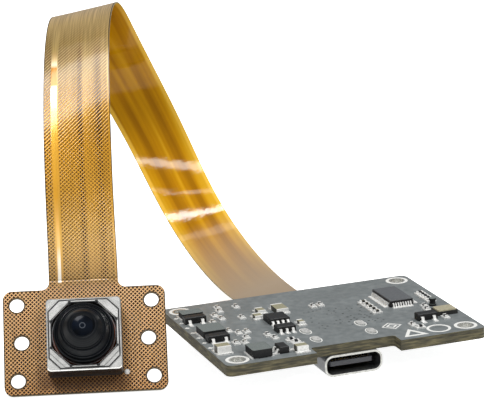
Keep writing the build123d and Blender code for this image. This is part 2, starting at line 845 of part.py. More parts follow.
with BuildPart() as bridge_chip_leads:
    short_side = evenly(bridge_short_side_count, bridge_lead_pitch)
    long_side = evenly(bridge_long_side_count, bridge_lead_pitch)
    for turn, half_reach, offsets in (
        (0, bridge_length / 2, long_side),
        (90, bridge_depth / 2, short_side),
        (180, bridge_length / 2, long_side),
        (270, bridge_depth / 2, short_side),
    ):
        with BuildSketch(*lead_planes(bridge_place, turn, half_reach, offsets)):
            add(lead_outline(bridge_height, bridge_lead_reach))
    extrude(amount=bridge_lead_width / 2, both=True)
bridge_chip_leads.part.label = "bridge_chip_leads"
export_step(bridge_chip_leads.part, "parts/bridge_chip_leads.step")

with BuildPart() as memory_chip:
    with BuildSketch(Plane.XY.offset(chip_standoff)):
        with Locations(memory_place):
            Rectangle(memory_length, memory_depth)
    extrude(amount=memory_height)
    chamfer(memory_chip.edges().group_by(Axis.Z)[-1], chip_edge_chamfer)
memory_chip.part.label = "memory_chip"
export_step(memory_chip.part, "parts/memory_chip.step")

with BuildPart() as memory_chip_leads:
    for turn in (90, 270):
        offsets = evenly(memory_side_count, memory_lead_pitch)
        with BuildSketch(*lead_planes(memory_place, turn, memory_depth / 2, offsets)):
            add(lead_outline(memory_height, memory_lead_reach))
    extrude(amount=memory_lead_width / 2, both=True)
memory_chip_leads.part.label = "memory_chip_leads"
export_step(memory_chip_leads.part, "parts/memory_chip_leads.step")

with BuildPart() as regulator:
    with BuildSketch(Plane.XY.offset(chip_standoff)):
        with Locations(regulator_place):
            Rectangle(regulator_length, regulator_depth)
    extrude(amount=regulator_height)
    chamfer(regulator.edges().group_by(Axis.Z)[-1], chip_edge_chamfer)
regulator.part.label = "regulator"
export_step(regulator.part, "parts/regulator.step")

with BuildPart() as regulator_leads:
    for turn in (90, 270):
        offsets = evenly(regulator_side_count, regulator_lead_pitch)
        with BuildSketch(*lead_planes(regulator_place, turn, regulator_depth / 2, offsets)):
            add(lead_outline(regulator_height, regulator_lead_reach))
    extrude(amount=regulator_lead_width / 2, both=True)
regulator_leads.part.label = "regulator_leads"
export_step(regulator_leads.part, "parts/regulator_leads.step")

with BuildPart() as transistors:
    for middle_x, middle_y, turn, length in transistors_at:
        with BuildSketch(Plane.XY.offset(chip_standoff)):
            with Locations((middle_x, middle_y)):
                Rectangle(length, transistor_depth, rotation=turn)
        extrude(amount=transistor_height)
    chamfer(transistors.edges().group_by(Axis.Z)[-1], chip_edge_chamfer)
transistors.part.label = "transistors"
export_step(transistors.part, "parts/transistors.step")

with BuildPart() as transistor_leads:
    for middle_x, middle_y, turn, length in transistors_at:
        spread = length * transistor_lead_spread_share
        front = lead_planes((middle_x, middle_y), turn - 90, transistor_depth / 2, (-spread, spread))
        back = lead_planes((middle_x, middle_y), turn + 90, transistor_depth / 2, (0,))
        with BuildSketch(*front, *back):
            add(lead_outline(transistor_height, transistor_lead_reach))
    extrude(amount=transistor_lead_width / 2, both=True)
transistor_leads.part.label = "transistor_leads"
export_step(transistor_leads.part, "parts/transistor_leads.step")

# ---------------------------------------------------------------- inductors and crystal

with BuildPart() as power_inductors:
    for middle_x, middle_y, length, depth, height in inductors_at:
        with BuildSketch(Plane.XY.offset(inductor_lift)):
            with Locations((middle_x, middle_y)):
                RectangleRounded(length, depth, inductor_corner_radius)
        extrude(amount=height - inductor_lift)
power_inductors.part.label = "power_inductors"
export_step(power_inductors.part, "parts/power_inductors.step")

with BuildPart() as inductor_terminals:
    for middle_x, middle_y, length, depth, height in inductors_at:
        with BuildSketch(Plane.XY):
            with Locations((middle_x, middle_y)):
                with GridLocations(length - inductor_terminal, 0, 2, 1):
                    Rectangle(inductor_terminal, depth * inductor_terminal_share)
        extrude(amount=inductor_lift)
inductor_terminals.part.label = "inductor_terminals"
export_step(inductor_terminals.part, "parts/inductor_terminals.step")

with BuildPart() as drum_inductor:
    with BuildSketch(Plane.XY):
        with Locations(drum_place):
            Circle(drum_diameter / 2 - drum_waist / 2)
    extrude(amount=drum_height)
    for bottom in (0, drum_height - drum_flange):
        with BuildSketch(Plane.XY.offset(bottom)):
            with Locations(drum_place):
                Circle(drum_diameter / 2)
        extrude(amount=drum_flange)
drum_inductor.part.label = "drum_inductor"
export_step(drum_inductor.part, "parts/drum_inductor.step")

with BuildPart() as crystal_base:
    with BuildSketch(Plane.XY):
        with Locations(crystal_place):
            Rectangle(crystal_length, crystal_depth)
    extrude(amount=crystal_base_height)
crystal_base.part.label = "crystal_base"
export_step(crystal_base.part, "parts/crystal_base.step")

with BuildPart() as crystal_lid:
    with BuildSketch(Plane.XY.offset(crystal_base_height)):
        with Locations(crystal_place):
            RectangleRounded(
                crystal_length - 2 * crystal_lid_inset,
                crystal_depth - 2 * crystal_lid_inset,
                crystal_lid_inset,
            )
    extrude(amount=crystal_lid_height)
crystal_lid.part.label = "crystal_lid"
export_step(crystal_lid.part, "parts/crystal_lid.step")

# ---------------------------------------------------------------- chip components

with BuildPart() as large_chips:
    for middle_x, middle_y, turn, length, width, height in large_chips_at:
        with BuildSketch(Plane.XY):
            with Locations((middle_x, middle_y)):
                Rectangle(length - 2 * large_chip_end, width, rotation=turn)
        extrude(amount=height)
large_chips.part.label = "large_chips"
export_step(large_chips.part, "parts/large_chips.step")

with BuildPart() as large_chip_ends:
    for middle_x, middle_y, turn, length, width, height in large_chips_at:
        with BuildSketch(Plane.XY):
            with Locations(Location((middle_x, middle_y, 0), turn)):
                with GridLocations(length - large_chip_end, 0, 2, 1):
                    Rectangle(large_chip_end, width)
        extrude(amount=height)
large_chip_ends.part.label = "large_chip_ends"
export_step(large_chip_ends.part, "parts/large_chip_ends.step")

with BuildPart() as capacitors:
    for middle_x, middle_y, turn in capacitors_at:
        with BuildSketch(Plane.XY):
            with Locations((middle_x, middle_y)):
                Rectangle(small_chip_length - 2 * small_chip_end, small_chip_width, rotation=turn)
    extrude(amount=small_chip_height)
capacitors.part.label = "capacitors"
export_step(capacitors.part, "parts/capacitors.step")

with BuildPart() as capacitor_ends:
    for middle_x, middle_y, turn in capacitors_at:
        with BuildSketch(Plane.XY):
            with Locations(Location((middle_x, middle_y, 0), turn)):
                with GridLocations(small_chip_length - small_chip_end, 0, 2, 1):
                    Rectangle(small_chip_end, small_chip_width)
    extrude(amount=small_chip_height)
capacitor_ends.part.label = "capacitor_ends"
export_step(capacitor_ends.part, "parts/capacitor_ends.step")

with BuildPart() as resistors:
    for middle_x, middle_y, turn in resistors_at:
        with BuildSketch(Plane.XY):
            with Locations((middle_x, middle_y)):
                Rectangle(small_chip_length - 2 * small_chip_end, small_chip_width, rotation=turn)
    extrude(amount=small_chip_height)
resistors.part.label = "resistors"
export_step(resistors.part, "parts/resistors.step")

with BuildPart() as resistor_ends:
    for middle_x, middle_y, turn in resistors_at:
        with BuildSketch(Plane.XY):
            with Locations(Location((middle_x, middle_y, 0), turn)):
                with GridLocations(small_chip_length - small_chip_end, 0, 2, 1):
                    Rectangle(small_chip_end, small_chip_width)
    extrude(amount=small_chip_height)
resistor_ends.part.label = "resistor_ends"
export_step(resistor_ends.part, "parts/resistor_ends.step")
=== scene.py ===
import json
import math

import bmesh
import bpy
import numpy as np
from mathutils import Matrix, Vector

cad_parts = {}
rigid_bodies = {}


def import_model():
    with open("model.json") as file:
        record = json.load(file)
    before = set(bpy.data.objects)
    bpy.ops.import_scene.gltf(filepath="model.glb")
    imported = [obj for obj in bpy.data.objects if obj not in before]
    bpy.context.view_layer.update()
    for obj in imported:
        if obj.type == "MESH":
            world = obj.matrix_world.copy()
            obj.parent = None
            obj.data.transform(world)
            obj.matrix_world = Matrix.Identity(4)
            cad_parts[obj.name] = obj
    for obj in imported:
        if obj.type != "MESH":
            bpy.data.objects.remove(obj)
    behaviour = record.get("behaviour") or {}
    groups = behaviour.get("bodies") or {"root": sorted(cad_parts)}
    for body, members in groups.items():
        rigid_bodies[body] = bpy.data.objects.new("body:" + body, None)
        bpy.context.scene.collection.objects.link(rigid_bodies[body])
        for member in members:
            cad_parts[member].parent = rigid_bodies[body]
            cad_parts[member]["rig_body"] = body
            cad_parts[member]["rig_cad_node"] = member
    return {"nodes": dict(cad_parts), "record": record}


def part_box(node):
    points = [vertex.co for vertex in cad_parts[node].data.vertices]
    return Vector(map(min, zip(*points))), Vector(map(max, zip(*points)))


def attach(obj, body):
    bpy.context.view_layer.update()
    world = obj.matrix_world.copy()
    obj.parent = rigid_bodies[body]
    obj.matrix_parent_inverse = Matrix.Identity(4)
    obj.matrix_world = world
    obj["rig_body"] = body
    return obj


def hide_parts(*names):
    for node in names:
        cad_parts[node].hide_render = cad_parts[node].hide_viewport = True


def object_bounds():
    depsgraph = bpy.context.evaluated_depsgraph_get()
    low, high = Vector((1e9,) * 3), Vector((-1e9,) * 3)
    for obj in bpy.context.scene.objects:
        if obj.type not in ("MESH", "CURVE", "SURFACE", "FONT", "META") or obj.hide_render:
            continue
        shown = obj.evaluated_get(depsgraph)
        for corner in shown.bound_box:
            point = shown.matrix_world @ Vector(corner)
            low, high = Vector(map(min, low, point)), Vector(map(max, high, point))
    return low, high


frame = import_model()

bl_info = {
    "name": "Camera module",
    "version": (1, 0, 0),
    "blender": (4, 5, 0),
    "location": "3D View > Sidebar > Camera module",
    "description": "Dresses an autofocus camera module: film, head, board and its parts",
    "category": "Object",
}

cad_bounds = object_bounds()
nodes = frame["nodes"]
mounts = {mount["name"]: mount for mount in frame["record"]["mounts"]}
MM = 0.001

# The camera head's own directions come from the six holes of its plate.
holes = {name: Vector(mount["pos_m"]) for name, mount in mounts.items() if name.startswith("head_hole")}
head_right = (holes["head_hole_right_upper"] - holes["head_hole_left_upper"]).normalized()
head_up = (holes["head_hole_left_upper"] - holes["head_hole_left_lower"]).normalized()
head_front = head_right.cross(head_up)
film_half = 0.1 * MM
# From the middle of the plate's thickness to its front
plate_depth = 0.225 * MM
head_middle = sum(holes.values(), Vector()) / len(holes) + head_front * plate_depth
head_place = Matrix((head_right, head_up, head_front)).transposed().to_4x4()
head_place.translation = head_middle
# A face faces a way, or only leans that way, from these shares of it in the face's normal
FACING = 0.7
LEANING = 0.3


# ---- settings


class FilmSettings(bpy.types.PropertyGroup):
    copper: bpy.props.StringProperty(
        name="Copper mesh", description="Colour of the copper along the front leg", default="#E4A42E"
    )
    gap: bpy.props.StringProperty(
        name="Mesh gap", description="Colour between the copper lines", default="#2E1604"
    )
    amber: bpy.props.StringProperty(
        name="Film", description="Main colour of the plain side", default="#A87306"
    )
    hatch_pitch: bpy.props.FloatProperty(
        name="Hatch pitch", description="Distance between two gaps of the mesh", default=0.42 * MM,
        unit="LENGTH",
    )


class HeadSettings(bpy.types.PropertyGroup):
    can: bpy.props.StringProperty(name="Can", description="Colour of the nickel can", default="#FAFAF7")
    barrel: bpy.props.StringProperty(name="Barrel", description="Colour of the lens barrel", default="#0E1319")


class BoardSettings(bpy.types.PropertyGroup):
    mask: bpy.props.StringProperty(
        name="Solder mask", description="Lighter colour of the board's faces", default="#838889"
    )
    laminate: bpy.props.StringProperty(
        name="Laminate", description="Middle colour of the board's edges", default="#4E4A38"
    )
    print_white: bpy.props.StringProperty(name="Print", description="Colour of the print", default="#F2F2EE")
    hole_inset: bpy.props.FloatProperty(
        name="Hole inset", description="From the board's edges to its holes", default=2.3 * MM, unit="LENGTH"
    )
    ring_outer: bpy.props.FloatProperty(
        name="Ring outside", description="Outer radius of the printed rings", default=1.72 * MM, unit="LENGTH"
    )
    ring_inner: bpy.props.FloatProperty(
        name="Ring inside", description="Inner radius of the printed rings", default=1.25 * MM, unit="LENGTH"
    )


class StageSettings(bpy.types.PropertyGroup):
    floor: bpy.props.StringProperty(name="Floor", description="Colour of the floor", default="#F7F7F5")
    floor_lift: bpy.props.FloatProperty(
        name="Floor lift", description="Light that the camera and reflections see on the floor", default=0.9
    )
    aim: bpy.props.FloatVectorProperty(
        name="Aim", description="Point that the camera looks at", default=(-0.00856, 0.0078, 0.01726),
        subtype="TRANSLATION",
    )
    distance: bpy.props.FloatProperty(
        name="Distance", description="From the camera to its aim", default=0.3706, unit="LENGTH"
    )
    azimuth: bpy.props.FloatProperty(
        name="Azimuth", description="Turn of the camera round the module", default=math.radians(-19.32),
        subtype="ANGLE",
    )
    elevation: bpy.props.FloatProperty(
        name="Elevation", description="Height angle of the camera", default=math.radians(14.72), subtype="ANGLE"
    )
    roll: bpy.props.FloatProperty(
        name="Roll", description="Turn of the camera about its view", default=math.radians(-2.32),
        subtype="ANGLE",
    )
    lens: bpy.props.FloatProperty(name="Lens", description="Focal length in millimetres", default=184.4)


# ---- small helpers


def linear(code):
    """A #RRGGBB colour as linear red, green and blue, with full alpha."""
    values = [int(code[index:index + 2], 16) / 255 for index in (1, 3, 5)]
    return [v / 12.92 if v <= 0.04045 else ((v + 0.055) / 1.055) ** 2.4 for v in values] + [1.0]


def add_node(tree, kind, links=None, **settings):
    """Adds a shader node; links gives each socket a value or another node's output."""
    node = tree.nodes.new("ShaderNode" + kind)
    for name, value in settings.items():
        setattr(node, name, value)
    for socket, value in (links or {}).items():
        if isinstance(value, bpy.types.NodeSocket):
            tree.links.new(value, node.inputs[socket])
        else:
            node.inputs[socket].default_value = value
    return node


def calculate(tree, operation, *values):
    """The result of one sum on numbers or other nodes' outputs."""
    return add_node(tree, "Math", dict(enumerate(values)), operation=operation).outputs[0]


def product(tree, result, *others):
    for other in others:
        result = calculate(tree, "MULTIPLY", result, other)
    return result


def remap(tree, value, start, end, low=0.0, high=1.0, **settings):
    """A value's range from start to end, clamped and stretched to low and high."""
    return add_node(tree, "MapRange", {
        "Value": value, "From Min": start, "From Max": end, "To Min": low, "To Max": high,
    }, **settings).outputs[0]


def mix(tree, share, first, second, kind="RGBA"):
    """Two colours, or with the kind FLOAT two numbers, in shares."""
    first_socket, second_socket, result = (6, 7, 2) if kind == "RGBA" else (2, 3, 0)
    links = {"Factor": share, first_socket: first, second_socket: second}
    return add_node(tree, "Mix", links, data_type=kind).outputs[result]


def ramp(tree, value, stops):
    """A colour for a value, from stops of (place, colour)."""
    node = add_node(tree, "ValToRGB", {0: value})
    elements = node.color_ramp.elements
    elements.remove(elements[-1])
    elements[0].position = stops[0][0]
    elements[0].color = linear(stops[0][1])
    for place, colour in stops[1:]:
        elements.new(place).color = linear(colour)
    return node.outputs[0]


def noise(tree, place, scale, detail):
    return add_node(
        tree, "TexNoise", {"Vector": place, "Scale": scale, "Detail": detail}
    ).outputs[0]


def relief(tree, height, strength, depth, below=None, **settings):
    """Relief of a depth in mm, on top of the relief below it."""
    links = {"Height": height, "Strength": strength, "Distance": depth * MM}
    if below is not None:
        links["Normal"] = below
    return add_node(tree, "Bump", links, **settings).outputs[0]


def combined(tree, x, y):
    return add_node(tree, "CombineXYZ", {"X": x, "Y": y}).outputs[0]


def separated(tree, vector):
    return add_node(tree, "SeparateXYZ", {0: vector}).outputs


def multiplied(tree, colour, factor):
    return add_node(tree, "VectorMath", {0: colour, 1: factor}, operation="MULTIPLY").outputs[0]


def object_place(tree):
    return add_node(tree, "TexCoord").outputs["Object"]


def head_axis_place(tree):
    """Object coordinates turned and moved so that Z is the optical axis."""
    return add_node(tree, "Mapping", {
        "Vector": object_place(tree), "Location": head_middle, "Rotation": head_place.to_euler(),
    }, vector_type="TEXTURE").outputs[0]


def new_material(name):
    """An empty node material and its tree."""
    material = bpy.data.materials.new(name)
    material.use_nodes = True
    material.node_tree.nodes.clear()
    return material, material.node_tree


def finish_surface(tree, sockets, kind="BsdfPrincipled"):
    """Ends a tree with a shader."""
    shader = add_node(tree, kind, sockets)
    add_node(tree, "OutputMaterial", {"Surface": shader.outputs[0]})


def deselect():
    if bpy.context.object and bpy.context.object.mode != "OBJECT":
        bpy.ops.object.mode_set(mode="OBJECT")
    bpy.ops.object.select_all(action="DESELECT")


def only(piece):
    """Makes a piece the one selected and active object."""
    deselect()
    piece.select_set(True)
    bpy.context.view_layer.objects.active = piece


def apply_modifiers(piece):
    only(piece)
    for modifier in list(piece.modifiers):
        bpy.ops.object.modifier_apply(modifier=modifier.name)


def enter_edit():
    bpy.ops.object.mode_set(mode="EDIT")
    bpy.ops.mesh.select_all(action="SELECT")


def leave_edit():
    """Points every face being edited outwards and ends the editing."""
    bpy.ops.mesh.select_all(action="SELECT")
    bpy.ops.mesh.normals_make_consistent(inside=False)
    bpy.ops.object.mode_set(mode="OBJECT")


def settle(piece, name, body, materials, faces=None):
    """Names a finished piece, gives it its finish and lets it ride on its body.

    With several materials, faces has each face's place among them."""
    only(piece)
    bpy.ops.object.transform_apply(location=True, rotation=True, scale=True)
    piece.name = name
    piece.data.name = name
    piece.data.materials.clear()
    for material in materials:
        piece.data.materials.append(material)
    if faces:
        piece.data.polygons.foreach_set("material_index", faces)
    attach(piece, body)
    return piece


def merged_copy(node_name, angle=35.0, flat=False):
    """A CAD node's shape as a clean mesh with smooth curves; flat leaves out needless edges."""
    node = nodes[node_name]
    only(node)
    bpy.ops.object.duplicate()
    piece = bpy.context.object
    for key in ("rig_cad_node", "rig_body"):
        del piece[key]
    piece.parent = None
    enter_edit()
    bpy.ops.mesh.customdata_custom_splitnormals_clear()
    bpy.ops.mesh.remove_doubles(threshold=1e-6)
    if flat:
        bpy.ops.mesh.dissolve_limited(angle_limit=math.radians(0.5))
    bpy.ops.object.mode_set(mode="OBJECT")
    only(piece)
    bpy.ops.object.shade_smooth_by_angle(angle=math.radians(angle))
    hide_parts(node_name)
    return piece


def raise_ring(width, height):
    """Opens the face being edited to a ring of a width, raises it by a height and ends the editing."""
    bpy.ops.mesh.select_all(action="SELECT")
    bpy.ops.mesh.inset(thickness=width, depth=0)
    bpy.ops.mesh.delete(type="FACE")
    bpy.ops.mesh.select_all(action="SELECT")
    bpy.ops.mesh.extrude_region_move(TRANSFORM_OT_translate={"value": (0, 0, height)})
    leave_edit()


def footprints(node_name, level=0.0):
    """What each separate solid of a CAD node covers up to 0.15 mm above a level, as low and high corners."""
    shape = bmesh.new()
    shape.from_mesh(nodes[node_name].data)
    bmesh.ops.remove_doubles(shape, verts=shape.verts, dist=1e-6)
    found = []
    seen = set()
    for start in shape.verts:
        if start in seen:
            continue
        group = [start]
        seen.add(start)
        for vert in group:
            for edge in vert.link_edges:
                other = edge.other_vert(vert)
                if other not in seen:
                    seen.add(other)
                    group.append(other)
        corners = np.array([vert.co for vert in group])
        corners = corners[corners[:, 2] < level + 0.15 * MM]
        if len(corners):
            found.append((Vector(corners.min(0)), Vector(corners.max(0))))
    shape.free()
    return found


def turned_part(profile, segments=96):
    """A turned ring: a circle is extruded along a closed profile of (radius, height) in mm."""
    deselect()
    radius, height = profile[0]
    bpy.ops.mesh.primitive_circle_add(
        vertices=segments, radius=radius * MM, location=(0, 0, height * MM), fill_type="NOTHING"
    )
    piece = bpy.context.object
    bpy.ops.object.transform_apply(location=True)
    enter_edit()
    for next_radius, next_height in profile[1:]:
        bpy.ops.mesh.extrude_edges_move(TRANSFORM_OT_translate={"value": (0, 0, (next_height - height) * MM)})
        grow = next_radius / radius
        bpy.ops.transform.resize(value=(grow, grow, 1), center_override=(0, 0, next_height * MM))
        radius, height = next_radius, next_height
    return piece


def close_turned_part(piece):
    """Joins a turned part's last loop to what it meets and points its faces outwards."""
    bpy.ops.mesh.select_all(action="SELECT")
    bpy.ops.mesh.remove_doubles(threshold=1e-6)
    leave_edit()
    only(piece)
    bpy.ops.object.shade_smooth_by_angle(angle=math.radians(30))
    piece.matrix_world = head_place
    return piece


# ---- the film's route


# How far the ribbon's middle line bows from the line between its ends, at each eighth
# of the way, and the way its width points at each fifth, as in the part's source.
ribbon_bows = [
    (-2.8, 4.8, 9.2), (-4.7, 12.1, 23.6), (-1.6, 30.0, 38.0), (-0.1, 37.2, 31.4),
    (1.9, 35.3, 18.8), (1.1, 27.9, 9.0), (1.8, 14.7, 0.4),
]
ribbon_widthways = [(1.0, -0.17, 0.17), (0.75, -0.45, 0.1), (0.83, 0.24, 0.42), (1.04, 0.32, 0.22)]
ribbon_half = 5.0 * MM
neck_length = 1.5 * MM
tail_low, tail_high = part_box("tail_stiffener")
plate_half_height = 7.8 * MM
neck_end = head_middle - head_front * film_half + head_up * (plate_half_height + neck_length)
tail_start = Vector(((tail_low.x + tail_high.x) / 2, tail_high.y, tail_high.z + film_half))
tail_end = Vector((tail_start.x, tail_low.y, tail_start.z))


def smooth_line(points, steps, ends=None):
    """Fine points along a smooth line through points; ends are its first and last slopes."""
    points = np.array(points, float)
    size = len(points)
    matrix = np.eye(size)
    slopes = np.zeros_like(points)
    if not ends:
        # The slope at each end of the cubic through the four points nearest to it
        nearest_four = np.array((-11, 18, -9, 2)) / (6 * steps[0])
        ends = nearest_four @ points[:4], -nearest_four @ points[:-5:-1]
    slopes[0], slopes[-1] = ends
    for index in range(1, size - 1):
        before, after = steps[index - 1], steps[index]
        matrix[index, index - 1:index + 2] = after, 2 * (before + after), before
        slopes[index] = 3 * (
            after / before * (points[index] - points[index - 1])
            + before / after * (points[index + 1] - points[index])
        )
    slopes = np.linalg.solve(matrix, slopes)
    t = np.linspace(0, 1, 200)[:, None]
    runs = []
    for index, step in enumerate(steps):
        runs.append(
            (2 * t**3 - 3 * t**2 + 1) * points[index] + (t**3 - 2 * t**2 + t) * step * slopes[index]
            + (3 * t**2 - 2 * t**3) * points[index + 1] + (t**3 - t**2) * step * slopes[index + 1]
        )
    return np.vstack(runs)


def evenly_along(fine, count):
    """Evenly spaced points of a line, and its length."""
    travelled = np.concatenate(([0], np.cumsum(np.linalg.norm(np.diff(fine, axis=0), axis=1))))
    wanted = np.linspace(0, travelled[-1], count)
    return np.column_stack([np.interp(wanted, travelled, fine[:, axis]) for axis in range(3)]), travelled[-1]


def ribbon_frames(count):
    """Middle line, widthways and length of the ribbon."""
    points = [neck_end]
    for index, bow in enumerate(ribbon_bows, start=1):
        share = index / (len(ribbon_bows) + 1)
        points.append(neck_end.lerp(tail_start, share) + Vector(bow) * MM)
    points.append(tail_start)
    steps = [(after - before).length for before, after in zip(points, points[1:])]
    places, length = evenly_along(smooth_line(points, steps, (head_up, (0, -1, 0))), count)
    ways = [head_right] + [Vector(way) for way in ribbon_widthways] + [Vector((1, 0, 0))]
    gaps = [1 / (len(ways) - 1)] * (len(ways) - 1)
    across, _ = evenly_along(smooth_line(ways, gaps), count)
    tangents = np.gradient(places, axis=0)
    tangents[0], tangents[-1] = head_up, (0, -1, 0)
    tangents /= np.linalg.norm(tangents, axis=1)[:, None]
    across -= tangents * np.sum(across * tangents, axis=1)[:, None]
    across /= np.linalg.norm(across, axis=1)[:, None]
    return places, across, length


# ---- materials


def film_place(tree):
    """Where a point is on the film: its map, and millimetres across and along."""
    uv = add_node(tree, "UVMap", uv_map="Film").outputs[0]
    across, along, _ = separated(tree, uv)
    return uv, across, along


def plate_rim(tree, across, along):
    """A dark rim round each hole of the plate and along the film's outline."""
    half_width, half_height, ribbon_edge = 11.7, plate_half_height / MM, ribbon_half / MM
    # The top edge runs only outside the neck and its fillets
    neck_reach = 6.1
    beside = calculate(tree, "ABSOLUTE", across)
    from_middle = calculate(tree, "ADD", along, (plate_half_height + neck_length) / MM)
    above = calculate(tree, "ABSOLUTE", from_middle)
    spot = combined(tree, beside, above)
    to_holes = []
    for name in ("head_hole_right_upper", "head_hole_right_middle"):
        away = holes[name] - head_middle
        hole = away.dot(head_right) / MM, away.dot(head_up) / MM, 0
        distance = add_node(tree, "VectorMath", {0: spot, 1: hole}, operation="DISTANCE")
        to_holes.append(distance.outputs["Value"])
    rim = remap(tree, calculate(tree, "MINIMUM", *to_holes), 1.3, 1.22)
    right = remap(tree, beside, half_width - 0.2, half_width - 0.1)
    top = remap(tree, above, half_height - 0.2, half_height - 0.1)
    top = product(tree, top, calculate(tree, "GREATER_THAN", beside, neck_reach))
    low = remap(tree, from_middle, 0.2 - half_height, 0.1 - half_height)
    sides = remap(tree, beside, ribbon_edge - 0.17, ribbon_edge - 0.1)
    sides = product(tree, sides, calculate(tree, "GREATER_THAN", along, 0.0))
    for line in (right, top, low, sides):
        rim = calculate(tree, "MAXIMUM", rim, line)
    return rim


def painted_can_shadow(tree, uv, across, along):
    """Painted shadow of the can: brown darkening below the can's foot and at its lower left corner."""
    wander = calculate(tree, "MULTIPLY_ADD", noise(tree, uv, 0.5, 3.0), 1.6, -0.8)
    beside = calculate(tree, "ABSOLUTE", calculate(tree, "ADD", across, 0.5))
    under_can = remap(tree, calculate(tree, "ADD", beside, wander), 7.4, 5.4)
    from_middle = calculate(tree, "ADD", along, (plate_half_height + neck_length) / MM)
    below = calculate(tree, "ADD", from_middle, wander)
    return product(tree, under_can, remap(tree, below, -3.0, -5.2), remap(tree, below, -7.8, -6.6), 0.55)


def film_outer(settings):
    """Polyimide film over hatched copper: amber film, with the copper mesh shining through it."""
    material, tree = new_material("Polyimide over hatched copper")
    uv, across, along = film_place(tree)
    # Both diagonals of the mesh, from 0 on a line's middle to 0.5 in the middle of a gap
    repeats = MM / (settings.hatch_pitch * math.sqrt(2))
    rising, falling = (
        calculate(tree, "PINGPONG", product(tree, calculate(tree, way, across, along), repeats), 0.5)
        for way in ("ADD", "SUBTRACT")
    )
    # Under the glare only the falling lines of the mesh show
    glare = remap(tree, along, 20, 27)
    nearest = mix(tree, glare, calculate(tree, "MAXIMUM", rising, falling), falling, "FLOAT")
    opening = remap(tree, nearest, 0.46, 0.27, interpolation_type="SMOOTHSTEP")
    # The mesh shows darkest over the plate and along two lines of the ribbon, and not
    # at all at its right edge, over the wide trace at its left, and towards the crest.
    columns = ramp(tree, remap(tree, across, -12, 12), [
        (0.0, "#E0E0E0"), (0.30, "#E8E8E8"), (0.336, "#F0F0F0"), (0.342, "#181818"), (0.378, "#181818"),
        (0.385, "#E4E4E4"), (0.45, "#DCDCDC"), (0.50, "#E4E4E4"), (0.512, "#FFFFFF"), (0.53, "#FFFFFF"),
        (0.545, "#C4C4C4"), (0.60, "#DCDCDC"), (0.632, "#FFFFFF"), (0.652, "#F8F8F8"), (0.66, "#D8D8D8"),
        (0.69, "#E4E4E4"), (0.70, "#606060"), (0.72, "#C0C0C0"), (1.0, "#C0C0C0"),
    ])
    shown = mix(tree, remap(tree, along, 1.0, -1.5), columns, 1.0, "FLOAT")
    depth = product(tree, opening, product(tree, shown, remap(tree, along, 37, 44, 1, 0)))
    # Browner copper on the plate, a little darker towards its bottom as painted shade, golden on the ribbon,
    # and pale at the crest as a painted sheen
    route = remap(tree, along, -20, 140)
    copper = ramp(tree, route, [
        (0.0, "#C88C50"), (0.04, "#E0AE74"), (0.115, "#EABA80"), (0.125, "#BC9250"), (0.17, "#C49848"),
        (0.21, "#DCA23A"), (0.26, settings.copper), (0.29, "#DCA234"), (0.31, "#B88C3C"), (0.34, "#A88E50"),
        (0.40, "#BCA06C"), (0.44, "#D0B692"), (0.49, "#CEB698"), (0.56, "#B8862F"), (1.0, "#B8862F"),
    ])
    gap = ramp(tree, route, [
        (0.0, "#240F05"), (0.115, "#2C1407"), (0.13, "#22110A"), (0.25, settings.gap), (0.34, "#4A2C08"),
        (0.42, "#8A6A38"), (1.0, "#8A5A1C"),
    ])
    body = mix(tree, depth, copper, gap)
    # The wide trace under the left side, in amber, with painted highlights as its pale stretches
    trace_and_highlights = ramp(tree, remap(tree, along, 0, 44), [
        (0.0, "#F4EEE2"), (0.06, "#F0E4CC"), (0.12, "#D8B070"), (0.30, "#DDA030"), (0.52, "#DDA638"),
        (0.62, "#E0BC74"), (0.655, "#FBF4E2"), (0.70, "#FBF4E2"), (0.715, "#B07404"), (0.785, "#B07404"),
        (0.80, "#F0DCB8"), (0.82, "#E6C896"), (0.85, "#C8A070"), (1.0, "#C8A070"),
    ])
    trace_here = product(
        tree, calculate(tree, "COMPARE", across, -3.4, remap(tree, along, 8, 26, 0.24, 0.46)),
        calculate(tree, "GREATER_THAN", along, -0.5), remap(tree, along, 38, 35.5),
    )
    body = mix(tree, trace_here, body, trace_and_highlights)
    # Painted shadow of the can below its foot, in dark brown
    body = mix(tree, painted_can_shadow(tree, uv, across, along), body, linear("#3E1E0C"))
    body = mix(tree, plate_rim(tree, across, along), body, linear("#4A3820"))
    # Fine lengthwise grain, with stronger lines that take over towards the crest
    grain_place = combined(tree, across, product(tree, along, 0.02))
    grain = remap(tree, noise(tree, grain_place, 2.4, 4.0), 0.3, 0.7, 0.86, 1.1)
    lines = remap(tree, noise(tree, grain_place, 7.0, 2.0), 0.38, 0.62, 0.78, 1.15)
    body = multiplied(tree, body, mix(tree, remap(tree, along, 30, 42), grain, lines, "FLOAT"))
    bump = relief(tree, depth, 0.6, 0.02, invert=True)
    finish_surface(tree, {
        "Base Color": body, "Roughness": 0.32, "Metallic": 0.3, "Specular IOR Level": 0.0,
        "Coat Weight": 0.7, "Coat Roughness": 0.13, "Coat IOR": 1.5, "Normal": bump, "Coat Normal": bump,
    })
    return material


